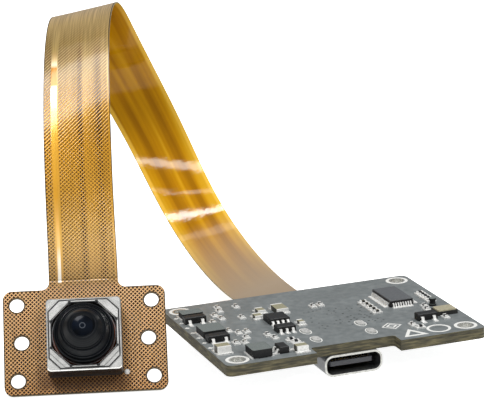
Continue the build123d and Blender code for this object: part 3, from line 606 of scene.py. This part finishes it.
def film_inner(settings):
    """Polyimide film, plain side: smooth amber gloss, with wide traces as darker bands under it."""
    material, tree = new_material("Polyimide film plain side")
    uv, across, along = film_place(tree)
    bands = noise(tree, combined(tree, across, product(tree, along, 0.03)), 0.55, 2.0)
    tone = ramp(tree, bands, [(0.36, "#926104"), (0.46, settings.amber), (0.55, "#B68208"), (0.66, "#C4941C")])
    # Paler margins with no trace, and a paler greyish end where the film nears the board, which is a painted
    # reflection
    margin = remap(tree, calculate(tree, "ABSOLUTE", across), 4.2, 4.5)
    colour = mix(tree, margin, tone, linear("#D8AC3C"))
    colour = mix(tree, remap(tree, along, 97, 113), colour, linear("#C0AC94"))
    # Slack creases across the film, some hundredths of a millimetre deep in several millimetres
    creases = noise(tree, combined(tree, product(tree, across, 0.12), along), 0.3, 1.0)
    bump = relief(tree, creases, 1.0, 0.02)
    bump = relief(tree, noise(tree, uv, 1.4, 2.0), 1.0, 0.007, below=bump)
    finish_surface(tree, {
        "Base Color": colour, "Roughness": 0.5, "Metallic": 0.55, "Specular IOR Level": 0.0,
        "Coat Weight": 0.6, "Coat Roughness": 0.05, "Coat IOR": 1.4, "Normal": bump, "Coat Normal": bump,
    })
    return material


def film_edge():
    """Cut edge of laminated film: a thin grey-green line."""
    material, tree = new_material("Cut polyimide edge")
    layers = noise(tree, object_place(tree), 900.0, 2.0)
    tone = ramp(tree, layers, [(0.3, "#77714F"), (0.7, "#948A5F")])
    finish_surface(tree, {"Base Color": tone, "Roughness": 0.55})
    return material


def speckled(name, dark, light, grain_mm, roughness, metallic=0.0, coat=0.0, relief_mm=0.0, spread=0.12,
             sides=None):
    """A surface whose grain varies between two tones, with its relief and its unevenness of gloss.

    With sides, everything but what faces up has that colour, as painted shade."""
    material, tree = new_material(name)
    coords = add_node(tree, "TexCoord")
    grain = noise(tree, coords.outputs["Object"], 1 / (grain_mm * MM), 4.0)
    colour = ramp(tree, grain, [(0.35, dark), (0.65, light)])
    if sides:
        facing_up = remap(tree, separated(tree, coords.outputs["Normal"])[2], 0.5, 0.8)
        colour = mix(tree, facing_up, linear(sides), colour)
    gloss = remap(tree, grain, 0, 1, max(roughness - spread, 0.02), roughness + spread)
    sockets = {"Base Color": colour, "Roughness": gloss, "Metallic": metallic}
    if not metallic:
        sockets["IOR"] = 1.5
    if coat:
        sockets["Coat Weight"] = coat
        sockets["Coat Roughness"] = 0.08
    if relief_mm:
        sockets["Normal"] = relief(tree, grain, 0.6, relief_mm)
    finish_surface(tree, sockets)
    return material


def dress(material, *node_names):
    """Gives CAD nodes their finish."""
    for node_name in node_names:
        node = nodes[node_name]
        if not node.material_slots:
            node.data.materials.append(material)
        for holder in node.material_slots:
            holder.material = material


# ---- operators


class MODULE_OT_film(bpy.types.Operator):
    """Makes the flexible circuit: its plate, and its ribbon down to the tail"""

    bl_idname = "module.film"
    bl_label = "Flexible circuit"

    def execute(self, context):
        settings = context.scene.module_film
        finishes = [film_outer(settings), film_inner(settings), film_edge()]
        ribbon = self.make_ribbon(finishes)
        plate = self.make_plate(finishes)
        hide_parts("flex_circuit")
        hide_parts("flex_circuit")
        return {"FINISHED"}

    def make_ribbon(self, finishes):
        """A fine grid is laid along the route and gets the film's thickness."""
        along_count, across_count = 181, 13
        places, across, length = ribbon_frames(along_count)
        tail_length = (tail_start - tail_end).length
        deselect()
        bpy.ops.mesh.primitive_grid_add(
            x_subdivisions=across_count - 1, y_subdivisions=along_count, size=2
        )
        piece = bpy.context.object
        # One row more than the route has lays the tail flat under the board.
        places = np.vstack([places, tail_end])
        across = np.vstack([across, across[-1]])
        travelled = np.append(np.linspace(0, length, along_count), length + tail_length)
        layer = piece.data.uv_layers.active
        layer.name = "Film"
        corners = np.zeros(len(piece.data.vertices) * 3)
        piece.data.vertices.foreach_get("co", corners)
        corners = corners.reshape(-1, 3)
        rows = np.rint((corners[:, 1] + 1) / 2 * along_count).astype(int)
        widths = corners[:, 0] * ribbon_half
        piece.data.vertices.foreach_set("co", (places[rows] + across[rows] * widths[:, None]).ravel())
        for loop in piece.data.loops:
            index = loop.vertex_index
            layer.data[loop.index].uv = widths[index] / MM, travelled[rows[index]] / MM
        # The thickness takes each side's finish from the slots, so they are filled first
        for finish in finishes:
            piece.data.materials.append(finish)
        solid = piece.modifiers.new("Film thickness", "SOLIDIFY")
        solid.thickness = 2 * film_half
        solid.offset = 0
        solid.material_offset = 1
        solid.material_offset_rim = 2
        apply_modifiers(piece)
        only(piece)
        bpy.ops.object.shade_smooth_by_angle(angle=math.radians(40))
        faces = [polygon.material_index for polygon in piece.data.polygons]
        return settle(piece, "film_ribbon", "module", finishes, faces)

    def make_plate(self, finishes):
        """The plate with its holes and neck, cut off at the ribbon's foot."""
        piece = merged_copy("flex_circuit", flat=True)
        enter_edit()
        bpy.ops.mesh.bisect(
            plane_co=neck_end, plane_no=head_up, use_fill=True, clear_outer=True, threshold=1e-6
        )
        # The cut leaves the film's other end too, which lies to the right of the plate
        right_of_plate = -20 * MM
        bpy.ops.mesh.select_all(action="DESELECT")
        shape = bmesh.from_edit_mesh(piece.data)
        for vert in shape.verts:
            vert.select = vert.co.x > right_of_plate
        shape.select_flush(True)
        bmesh.update_edit_mesh(piece.data)
        bpy.ops.mesh.delete(type="VERT")
        leave_edit()
        layer = piece.data.uv_layers.new(name="Film")
        faces = []
        for polygon in piece.data.polygons:
            facing = polygon.normal.dot(head_front)
            faces.append(0 if facing > FACING else 1 if facing < -FACING else 2)
            for index in polygon.loop_indices:
                place = piece.data.vertices[piece.data.loops[index].vertex_index].co - neck_end
                layer.data[index].uv = place.dot(head_right) / MM, place.dot(head_up) / MM
        return settle(piece, "film_plate", "module", finishes, faces)


class MODULE_OT_head(bpy.types.Operator):
    """Finishes the camera head: its can, holder, springs, magnets and coil"""

    bl_idname = "module.head"
    bl_label = "Camera head"

    def execute(self, context):
        settings = context.scene.module_head
        # Bright nickel on drawn steel: clear reflections with a faint drawing grain
        nickel = speckled("Nickel plated steel", "#E6E6E3", settings.can, 1.5, 0.26, metallic=0.8, spread=0.03)
        # Painted shade on the can's walls: they are black and stay dark beside the bright face
        wall_shade = speckled("Can walls in painted shade", "#0C0C0D", "#1A1A1B", 0.3, 0.3)
        can = merged_copy("actuator_can", angle=30)
        faces = [0 if polygon.normal.dot(head_front) > LEANING else 1 for polygon in can.data.polygons]
        settle(can, "can_shell", "module", [nickel, wall_shade], faces)
        # Thin dark lines of painted shade along the steps and the opening of the can's face
        groove_shade = speckled("Shaded press groove", "#161617", "#2A2A2B", 0.2, 0.5)
        self.groove_shade("can_step_shade", 9.62, 2.16, 0.26, 3.46, groove_shade)
        self.groove_shade("can_corner_shade", 10.25, 1.66, 0.2, 3.46, groove_shade)
        self.groove_shade("can_rim_shade", 9.46, 2.62, 0.12, 3.61, groove_shade)
        # Moulded black plastic with a matt spark-eroded skin
        black = speckled("Black LCP moulding", "#151517", "#232325", 0.12, 0.5, relief_mm=0.006)
        dress(black, "sensor_holder", "actuator_base")
        dress(speckled("Black LCP carrier", "#121214", "#1E1F21", 0.1, 0.45, relief_mm=0.005), "lens_carrier")
        dress(speckled("Black polyimide stiffener", "#3A2A1A", "#4A3722", 0.4, 0.5), "head_stiffener")
        dress(speckled("Polyimide tail stiffener", "#7A541E", "#8F682A", 0.4, 0.45), "tail_stiffener")
        # Metals of the springs and the drive, each with its own tone and gloss
        for name, finish, dark, light, grain_mm, roughness, metallic in (
            ("lower_spring", "Darkened spring bronze", "#2A221A", "#3A3024", 0.2, 0.4, 0.6),
            ("upper_spring", "Rolled nickel silver spring", "#77777A", "#98989A", 0.2, 0.3, 1.0),
            ("corner_magnets", "Nickel plated magnet", "#85858A", "#A5A5A8", 0.3, 0.3, 1.0),
            ("focus_coil", "Enamelled copper wire", "#7A3A1A", "#A4572B", 0.06, 0.35, 1.0),
        ):
            dress(speckled(finish, dark, light, grain_mm, roughness, metallic), name)
        dress(speckled("Polished silicon", "#2A2C33", "#3A3E4A", 0.5, 0.15, coat=0.5), "image_sensor")
        dress(speckled("Blue filter glass", "#2B5560", "#386A74", 1.5, 0.05, coat=1.0), "infrared_filter")
        dress(speckled("Bright solder", "#E0E0DD", "#FCFCF9", 0.4, 0.25, metallic=0.2), "solder_bead")
        return {"FINISHED"}

    def groove_shade(self, name, across, cut, width, height, material):
        """A dark line of painted shade along a pressed step of the can's face: a square with cut corners,
        opened to a thin ring.
        """
        line_height = 0.015 * MM
        deselect()
        bpy.ops.mesh.primitive_plane_add(size=across * MM, location=(0, 0, height * MM))
        piece = bpy.context.object
        bpy.ops.object.transform_apply(location=True)
        enter_edit()
        bpy.ops.mesh.bevel(offset=cut * MM, offset_type="OFFSET", affect="VERTICES")
        raise_ring(width * MM, line_height)
        piece.matrix_world = head_place
        return settle(piece, name, "module", [material])


class MODULE_OT_lens(bpy.types.Operator):
    """Turns the lens barrel with its grooves and lip, and the domed front glass"""

    bl_idname = "module.lens"
    bl_label = "Lens"

    def execute(self, context):
        settings = context.scene.module_head
        barrel = turned_part([
            (3.2, 1.75), (3.5, 1.75), (3.5, 3.25), (4.3, 3.25), (4.35, 3.32), (4.35, 4.12), (4.27, 4.2),
            (4.1, 4.2), (4.02, 4.12), (3.98, 4.3), (3.86, 4.62), (3.78, 4.66), (3.72, 4.6), (3.62, 4.86),
            (3.4, 5.5), (3.3, 5.84), (3.2, 5.9), (3.08, 5.86), (3.03, 5.98), (2.96, 6.08), (2.85, 6.1),
            (2.2, 7.45), (2.0, 7.66), (1.9, 7.7), (1.8, 7.68), (1.74, 7.6), (1.5, 7.41), (1.7, 7.4),
            (1.7, 6.5), (2.2, 6.5), (2.2, 4.4), (2.7, 4.4), (2.7, 1.75), (3.2, 1.75),
        ])
        barrel = close_turned_part(barrel)
        settle(barrel, "barrel_turned", "lens_group", [self.anodised(settings)])
        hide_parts("lens_barrel")

        glass = self.lens_glass()
        # Both ends are narrow enough for close_turned_part to merge each into one point
        pole = 0.0002
        dome = close_turned_part(turned_part([
            (pole, 6.92), (1.68, 6.92), (1.68, 7.38), (1.48, 7.4), (1.2, 7.47), (0.8, 7.53), (0.4, 7.56),
            (pole, 7.57),
        ]))
        settle(dome, "front_glass", "lens_group", [glass])
        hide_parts("front_lens")
        dress(glass, "middle_lens", "rear_lens")
        dress(speckled("Black anodised ring", "#101113", "#1C1D20", 0.2, 0.4), "lens_spacers", "lens_retainer")
        return {"FINISHED"}

    def anodised(self, settings):
        """Anodised aluminium: blued black, turned with fine rings."""
        material, tree = new_material("Black anodised barrel")
        rings = add_node(tree, "TexWave", {
            "Vector": head_axis_place(tree), "Scale": 1 / (0.6 * MM), "Distortion": 0.4, "Detail": 1.0,
        }, wave_type="RINGS", rings_direction="Z").outputs["Fac"]
        finish_surface(tree, {
            "Base Color": ramp(tree, rings, [(0.0, "#040608"), (1.0, settings.barrel)]), "Roughness": 0.4,
            "Specular IOR Level": 0.14, "Normal": relief(tree, rings, 0.35, 0.01),
        })
        return material

    def lens_glass(self):
        """Coated optical glass: almost black from outside, with a violet-blue sheen."""
        material, tree = new_material("Coated optical glass")
        tone = ramp(tree, noise(tree, object_place(tree), 400.0, 1.0), [(0.3, "#07090D"), (0.7, "#101722")])
        # A faint painted ring reflection on the glass
        flat = multiplied(tree, head_axis_place(tree), (1, 1, 0))
        radius = add_node(tree, "VectorMath", {0: flat}, operation="LENGTH").outputs["Value"]
        ring = calculate(tree, "COMPARE", radius, 0.38 * MM, 0.07 * MM)
        finish_surface(tree, {
            "Base Color": mix(tree, ring, tone, linear("#4A4E55")), "Roughness": 0.12, "IOR": 1.5,
            "Specular IOR Level": 0.1,
        })
        return material


def flat_ring(name, centre, outer, inner, height, material, corners=64, stretch=1.0):
    """A thin printed ring, or a frame with few corners, standing a hair above the board."""
    deselect()
    bpy.ops.mesh.primitive_circle_add(vertices=corners, radius=outer, fill_type="NGON")
    piece = bpy.context.object
    piece.scale.y = stretch
    piece.location = centre
    bpy.ops.object.transform_apply(location=True, scale=True)
    bpy.ops.object.mode_set(mode="EDIT")
    raise_ring(outer - inner, height)
    return settle(piece, name, "module", [material])


class MODULE_OT_board(bpy.types.Operator):
    """Finishes the board with its mask, laminate edges, print and pads"""

    bl_idname = "module.board"
    bl_label = "Control board"

    def execute(self, context):
        settings = context.scene.module_board
        board = merged_copy("circuit_board", angle=30)
        tin = speckled("Tinned copper pad", "#CFCFCB", "#EEEEEA", 0.3, 0.28, metallic=0.8)
        finishes = [self.mask(settings), self.laminate(settings), tin]
        _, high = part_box("circuit_board")
        across, deep = high.x - settings.hole_inset, high.y - settings.hole_inset
        # Of the board's upright faces, only the holes' tinned walls lie this near to their middles
        wall_reach = 1.2 * MM
        faces = []
        for polygon in board.data.polygons:
            away = math.hypot(abs(polygon.center.x) - across, abs(polygon.center.y) - deep)
            faces.append(0 if abs(polygon.normal.z) > FACING else 2 if away < wall_reach else 1)
        settle(board, "board_masked", "module", finishes, faces)
        self.prints(settings, across, deep, tin)
        return {"FINISHED"}

    def prints(self, settings, across, deep, tin):
        """The white print on the board, and the tinned land round each hole."""
        printing = speckled("White epoxy print", "#E4E4E0", settings.print_white, 0.15, 0.6)
        print_height, land_height = 0.02 * MM, 0.015 * MM
        for side, beside in ((-1, "left"), (1, "right")):
            for end, depth in ((-1, "front"), (1, "back")):
                place = (side * across, end * deep, 0)
                name = f"{beside}_{depth}"
                ring = settings.ring_outer, settings.ring_inner
                flat_ring("print_ring_" + name, place, *ring, print_height, printing)
                flat_ring("hole_land_" + name, place, 1.22 * MM, 1.0 * MM, land_height, tin)
        for name, x, y, outer, inner, corners in (
            ("print_ring_plain", 13.6, -12.3, 1.8, 1.4, 64),
            ("print_triangle", 9.4, -12.9, 2.2, 1.7, 3),
            ("print_square", 7.9, -8.2, 1.6, 1.4, 4),
            ("print_square_inner", 7.9, -8.2, 0.9, 0.65, 4),
        ):
            place = (x * MM, y * MM, 0)
            flat_ring(name, place, outer * MM, inner * MM, print_height, printing, corners)
        # A dashed printed line along the board's left edge, from the back
        first_dash, dash_pitch = 9.6, 2.6
        for index in range(8):
            place = (-19.4 * MM, (first_dash - dash_pitch * index) * MM, 0)
            flat_ring(f"print_dash_{index + 1}", place, 0.42 * MM, 0.1 * MM, print_height, printing, corners=4)
        # An outline round each leg of the USB shell, stretched like the leg's solder
        _, solder_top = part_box("leg_solder")
        for index, (low, high) in enumerate(footprints("leg_solder", solder_top.z - 0.05 * MM)):
            middle = (low + high) / 2
            stretch = (high.y - low.y) / (high.x - low.x)
            place = (middle.x, middle.y, 0)
            name = f"leg_land_{index + 1}"
            flat_ring(name, place, 0.82 * MM, 0.66 * MM, print_height, printing, stretch=stretch)

    def mask(self, settings):
        """Solder mask over copper: smooth grey epoxy, with copper areas and vias showing faintly."""
        material, tree = new_material("Grey solder mask")
        place = object_place(tree)
        weave = noise(tree, place, 900.0, 5.0)
        tone = ramp(tree, weave, [(0.3, "#6E7475"), (0.7, settings.mask)])
        # Faint lighter copper areas under the mask, some millimetres wide
        areas = add_node(
            tree, "TexVoronoi", {"Vector": place, "Scale": 210.0}, distance="CHEBYCHEV"
        ).outputs["Color"]
        tone = multiplied(tree, tone, remap(tree, separated(tree, areas)[0], 0.1, 0.9, 0.93, 1.06))
        # Rows of small vias between the chips, one about every 0.7 mm
        vias = add_node(
            tree, "TexVoronoi", {"Vector": place, "Scale": 1400.0, "Randomness": 0.5}
        ).outputs
        x, y, _ = separated(tree, place)
        dot = product(
            tree, remap(tree, vias["Distance"], 0.3, 0.2),
            calculate(tree, "COMPARE", x, 3.2 * MM, 5.2 * MM),
            calculate(tree, "COMPARE", y, -0.5 * MM, 5.0 * MM),
            calculate(tree, "GREATER_THAN", separated(tree, vias["Color"])[0], 0.45),
        )
        finish_surface(tree, {
            "Base Color": mix(tree, dot, tone, linear("#2C3031")), "Roughness": 0.42, "IOR": 1.5,
            "Normal": relief(tree, weave, 0.3, 0.01),
        })
        return material

    def laminate(self, settings):
        """Glass-epoxy laminate, sawn edge: olive brown in thin layers."""
        material, tree = new_material("Glass epoxy laminate edge")
        stretched = add_node(tree, "Mapping", {"Vector": object_place(tree), "Scale": (1, 1, 8)})
        layers = noise(tree, stretched.outputs[0], 500.0, 4.0)
        tone = ramp(tree, layers, [(0.3, "#322F24"), (0.5, settings.laminate), (0.72, "#7A7252")])
        finish_surface(tree, {"Base Color": tone, "Roughness": 0.7})
        return material


class MODULE_OT_connectors(bpy.types.Operator):
    """Finishes the USB-C receptacle and the ribbon's connector"""

    bl_idname = "module.connectors"
    bl_label = "Connectors"

    def execute(self, context):
        steel = speckled("Drawn stainless steel", "#A8A8A4", "#C4C4C0", 0.4, 0.26, metallic=1.0, spread=0.06)
        # Behind its bright front rim the shell is a rougher satin grey, darker as painted shade
        satin_shaded_steel = speckled("Satin steel in painted shade", "#8F9092", "#A9AAAC", 0.4, 0.35, metallic=0.9)
        shell = merged_copy("usb_shell", angle=30)
        faces = [0 if polygon.normal.y < -LEANING else 1 for polygon in shell.data.polygons]
        settle(shell, "usb_shell_drawn", "module", [steel, satin_shaded_steel], faces)
        dress(speckled("Bright solder", "#CFCFCC", "#F2F2EF", 0.5, 0.3, metallic=0.4), "leg_solder")
        dress(speckled("Grey LCP tongue", "#3E3F44", "#505157", 0.15, 0.4), "usb_tongue")
        gold = speckled("Flash gold contact", "#B8913F", "#D8B564", 0.3, 0.22, metallic=1.0)
        dress(gold, "usb_contacts", "receptacle_contacts", "plug_contacts")
        beige = speckled("Beige LCP moulding", "#B9AE92", "#C9BFA4", 0.2, 0.5)
        dress(beige, "ribbon_receptacle", "ribbon_plug")
        return {"FINISHED"}


class MODULE_OT_parts(bpy.types.Operator):
    """Finishes the chips and small parts on the board"""

    bl_idname = "module.parts"
    bl_label = "Board parts"

    def execute(self, context):
        # Painted shade: the sides of these chips are darker than their tops
        epoxy = speckled(
            "Moulded chip epoxy", "#1E1F21", "#2E3032", 0.12, 0.55, relief_mm=0.006, sides="#0A0A0B"
        )
        dress(epoxy, "memory_chip", "regulator", "transistors")
        # Painted shade on the sides of the sanded chip too
        dress(speckled(
            "Moulded chip epoxy, sanded", "#585B5E", "#686B6E", 0.2, 0.6, relief_mm=0.004, sides="#141415"
        ), "bridge_chip")
        leads = ("bridge_chip_leads", "memory_chip_leads", "regulator_leads", "transistor_leads")
        ends = ("inductor_terminals", "capacitor_ends", "resistor_ends", "large_chip_ends")
        dress(speckled("Matt tin plated lead", "#E8E8E5", "#FFFFFC", 0.2, 0.35, metallic=0.1), *leads, *ends)
        # Painted shade: the ferrites' sides are darker than their tops
        ferrite = speckled("Pressed ferrite", "#646A6A", "#7C8380", 0.15, 0.75, relief_mm=0.01, sides="#121314")
        dress(ferrite, "power_inductors", "drum_inductor")
        dress(speckled("Dark alumina case", "#1F1F1E", "#2E2D2A", 0.2, 0.5), "crystal_base")
        dress(speckled("Gold tinted kovar lid", "#CFC6A6", "#E6DEC2", 0.4, 0.35, metallic=0.5), "crystal_lid")
        # Painted shade: both ceramics have sides darker than their tops
        dress(speckled("Fired titanate ceramic", "#3F403C", "#6A6454", 0.9, 0.4, sides="#1A1B1A"), "capacitors")
        dress(speckled(
            "Fired titanate ceramic, large", "#8A876F", "#A8A389", 0.2, 0.45, sides="#3E3C33"
        ), "large_chips")
        dress(speckled("Black glazed resistor", "#18191B", "#2A2B2E", 0.15, 0.3), "resistors")
        solder = speckled("Reflowed solder", "#DADAD8", "#FFFFFC", 0.3, 0.3, metallic=0.15)
        for name in leads:
            self.solder_pads(name, 0.1, 0.1, solder, longer=0.08 if name == "bridge_chip_leads" else 0.35)
        for name in ends:
            self.solder_pads(name, 0.24, 0.22, solder)
        return {"FINISHED"}

    def solder_pads(self, node_name, margin, height, material, longer=0.0):
        """A low sloping pad of solder under every terminal of a node, all measures in mm.

        Each pad reaches past its terminal by the margin, and at its long ends by longer too."""
        deselect()
        bpy.ops.mesh.primitive_plane_add(size=2 * MM)
        piece = bpy.context.object
        enter_edit()
        bpy.ops.mesh.delete(type="VERT")
        for low, high in footprints(node_name):
            middle = (low + high) / 2
            bpy.ops.mesh.primitive_plane_add(size=2 * MM, location=(middle.x, middle.y, 0))
            grow = [(high[axis] - low[axis]) / (2 * MM) + margin for axis in (0, 1)]
            grow[0 if grow[0] > grow[1] else 1] += longer
            bpy.ops.transform.resize(value=(*grow, 1), center_override=(middle.x, middle.y, 0))
        bpy.ops.mesh.select_all(action="SELECT")
        bpy.ops.mesh.extrude_region_move(TRANSFORM_OT_translate={"value": (0, 0, height * MM)})
        bpy.ops.mesh.inset(thickness=0.8 * margin * MM, depth=0, use_individual=True)
        leave_edit()
        settle(piece, "solder_" + node_name, "module", [material])


def way_towards(azimuth, elevation):
    """The way from the module to what stands at these angles, counted from the board's front."""
    level = math.cos(elevation)
    return Vector((math.sin(azimuth) * level, -math.cos(azimuth) * level, math.sin(elevation)))


# From the middle of the board to each lamp, in metres
LAMP_DISTANCE = 0.8
# Each lamp's azimuth and elevation in degrees, width and height in metres, and power in watts
LAMPS = {
    "Overhead softbox": (-68, 71, 0.32, 0.32, 3.8),
    "Right strip": (48, 55.6, 0.5, 0.018, 1.5),
    "Right thin strip": (42, 49.5, 0.5, 0.006, 0.2),
    "Right faint strip": (56, 62, 0.5, 0.03, 0.25),
    "Low right strip": (35.5, 40.3, 0.4, 0.04, 1.05),
    "Front softbox": (-22, 50, 0.5, 0.5, 0.15),
}


class MODULE_OT_stage(bpy.types.Operator):
    """Sets the white floor, the lamps and the camera"""

    bl_idname = "module.stage"
    bl_label = "Stage"

    def execute(self, context):
        settings = context.scene.module_stage
        self.floor(settings)
        self.world(context)
        turn, roll = settings.azimuth, settings.roll
        back = way_towards(turn, settings.elevation)
        side = Vector((math.cos(turn), math.sin(turn), 0))
        above = back.cross(side)
        right = math.cos(roll) * side + math.sin(roll) * above
        up = -math.sin(roll) * side + math.cos(roll) * above
        bpy.ops.object.camera_add()
        camera = context.object
        camera.name = "Camera"
        place = Matrix((right, up, back)).transposed().to_4x4()
        place.translation = Vector(settings.aim) + back * settings.distance
        camera.matrix_world = place
        camera.data.lens = settings.lens
        camera.data.clip_start = 0.01
        camera.data.clip_end = 20
        context.scene.camera = camera
        for name, (azimuth, elevation, *size, power) in LAMPS.items():
            self.lamp(name, way_towards(math.radians(azimuth), math.radians(elevation)), size, power)
        return {"FINISHED"}

    def lamp(self, name, way, size, power):
        deselect()
        bpy.ops.object.light_add(type="AREA", location=way * LAMP_DISTANCE)
        lamp = bpy.context.object
        lamp.name = name
        lamp.data.shape = "RECTANGLE"
        lamp.data.size, lamp.data.size_y = size
        lamp.data.energy = power
        lamp.rotation_euler = (-way).to_track_quat("-Z", "Y").to_euler()

    def floor(self, settings):
        """A white floor 0.1 mm below the module, lifted for the camera and in reflections."""
        deselect()
        bpy.ops.mesh.primitive_plane_add(size=6, location=(0, 1, cad_bounds[0][2] - 0.1 * MM))
        floor = bpy.context.object
        floor.name = "floor"
        bpy.ops.object.transform_apply(location=True)
        material, tree = new_material("White painted floor")
        path = add_node(tree, "LightPath").outputs
        # Reflections see this share of the camera's lift
        mirrored_share = 0.6
        mirrored = calculate(tree, "MAXIMUM", path["Is Glossy Ray"], path["Is Transmission Ray"])
        mirrored = product(tree, mirrored, mirrored_share)
        seen = calculate(tree, "MAXIMUM", path["Is Camera Ray"], mirrored)
        diffuse = add_node(tree, "BsdfDiffuse", {"Color": linear(settings.floor)})
        glow = add_node(tree, "Emission", {
            "Color": (1, 1, 1, 1), "Strength": product(tree, seen, settings.floor_lift),
        })
        finish_surface(tree, {0: diffuse.outputs[0], 1: glow.outputs[0]}, "AddShader")
        floor.data.materials.append(material)

    def world(self, context):
        world = bpy.data.worlds.new("Studio")
        context.scene.world = world
        world.use_nodes = True
        background = world.node_tree.nodes["Background"]
        background.inputs["Color"].default_value = linear("#FFFFFF")
        background.inputs["Strength"].default_value = 0.2
        context.scene.view_settings.view_transform = "Standard"


class MODULE_PT_panel(bpy.types.Panel):
    """Lists the steps that dress the module"""

    bl_idname = "MODULE_PT_panel"
    bl_label = "Camera module"
    bl_space_type = "VIEW_3D"
    bl_region_type = "UI"
    bl_category = "Camera module"

    def draw(self, context):
        for step in STEPS:
            self.layout.operator(step.bl_idname)


GROUPS = {
    "module_film": FilmSettings,
    "module_head": HeadSettings,
    "module_board": BoardSettings,
    "module_stage": StageSettings,
}
STEPS = (
    MODULE_OT_film, MODULE_OT_head, MODULE_OT_lens, MODULE_OT_board, MODULE_OT_connectors,
    MODULE_OT_parts, MODULE_OT_stage,
)
CLASSES = (*GROUPS.values(), *STEPS, MODULE_PT_panel)


def register():
    for kind in CLASSES:
        bpy.utils.register_class(kind)
    for name, group in GROUPS.items():
        setattr(bpy.types.Scene, name, bpy.props.PointerProperty(type=group))


def unregister():
    for name in GROUPS:
        delattr(bpy.types.Scene, name)
    for kind in reversed(CLASSES):
        bpy.utils.unregister_class(kind)


def main():
    register()
    bpy.ops.module.film()
    bpy.ops.module.head()
    bpy.ops.module.lens()
    bpy.ops.module.board()
    bpy.ops.module.connectors()
    bpy.ops.module.parts()
    bpy.ops.module.stage()


if __name__ == "__main__":
    main()
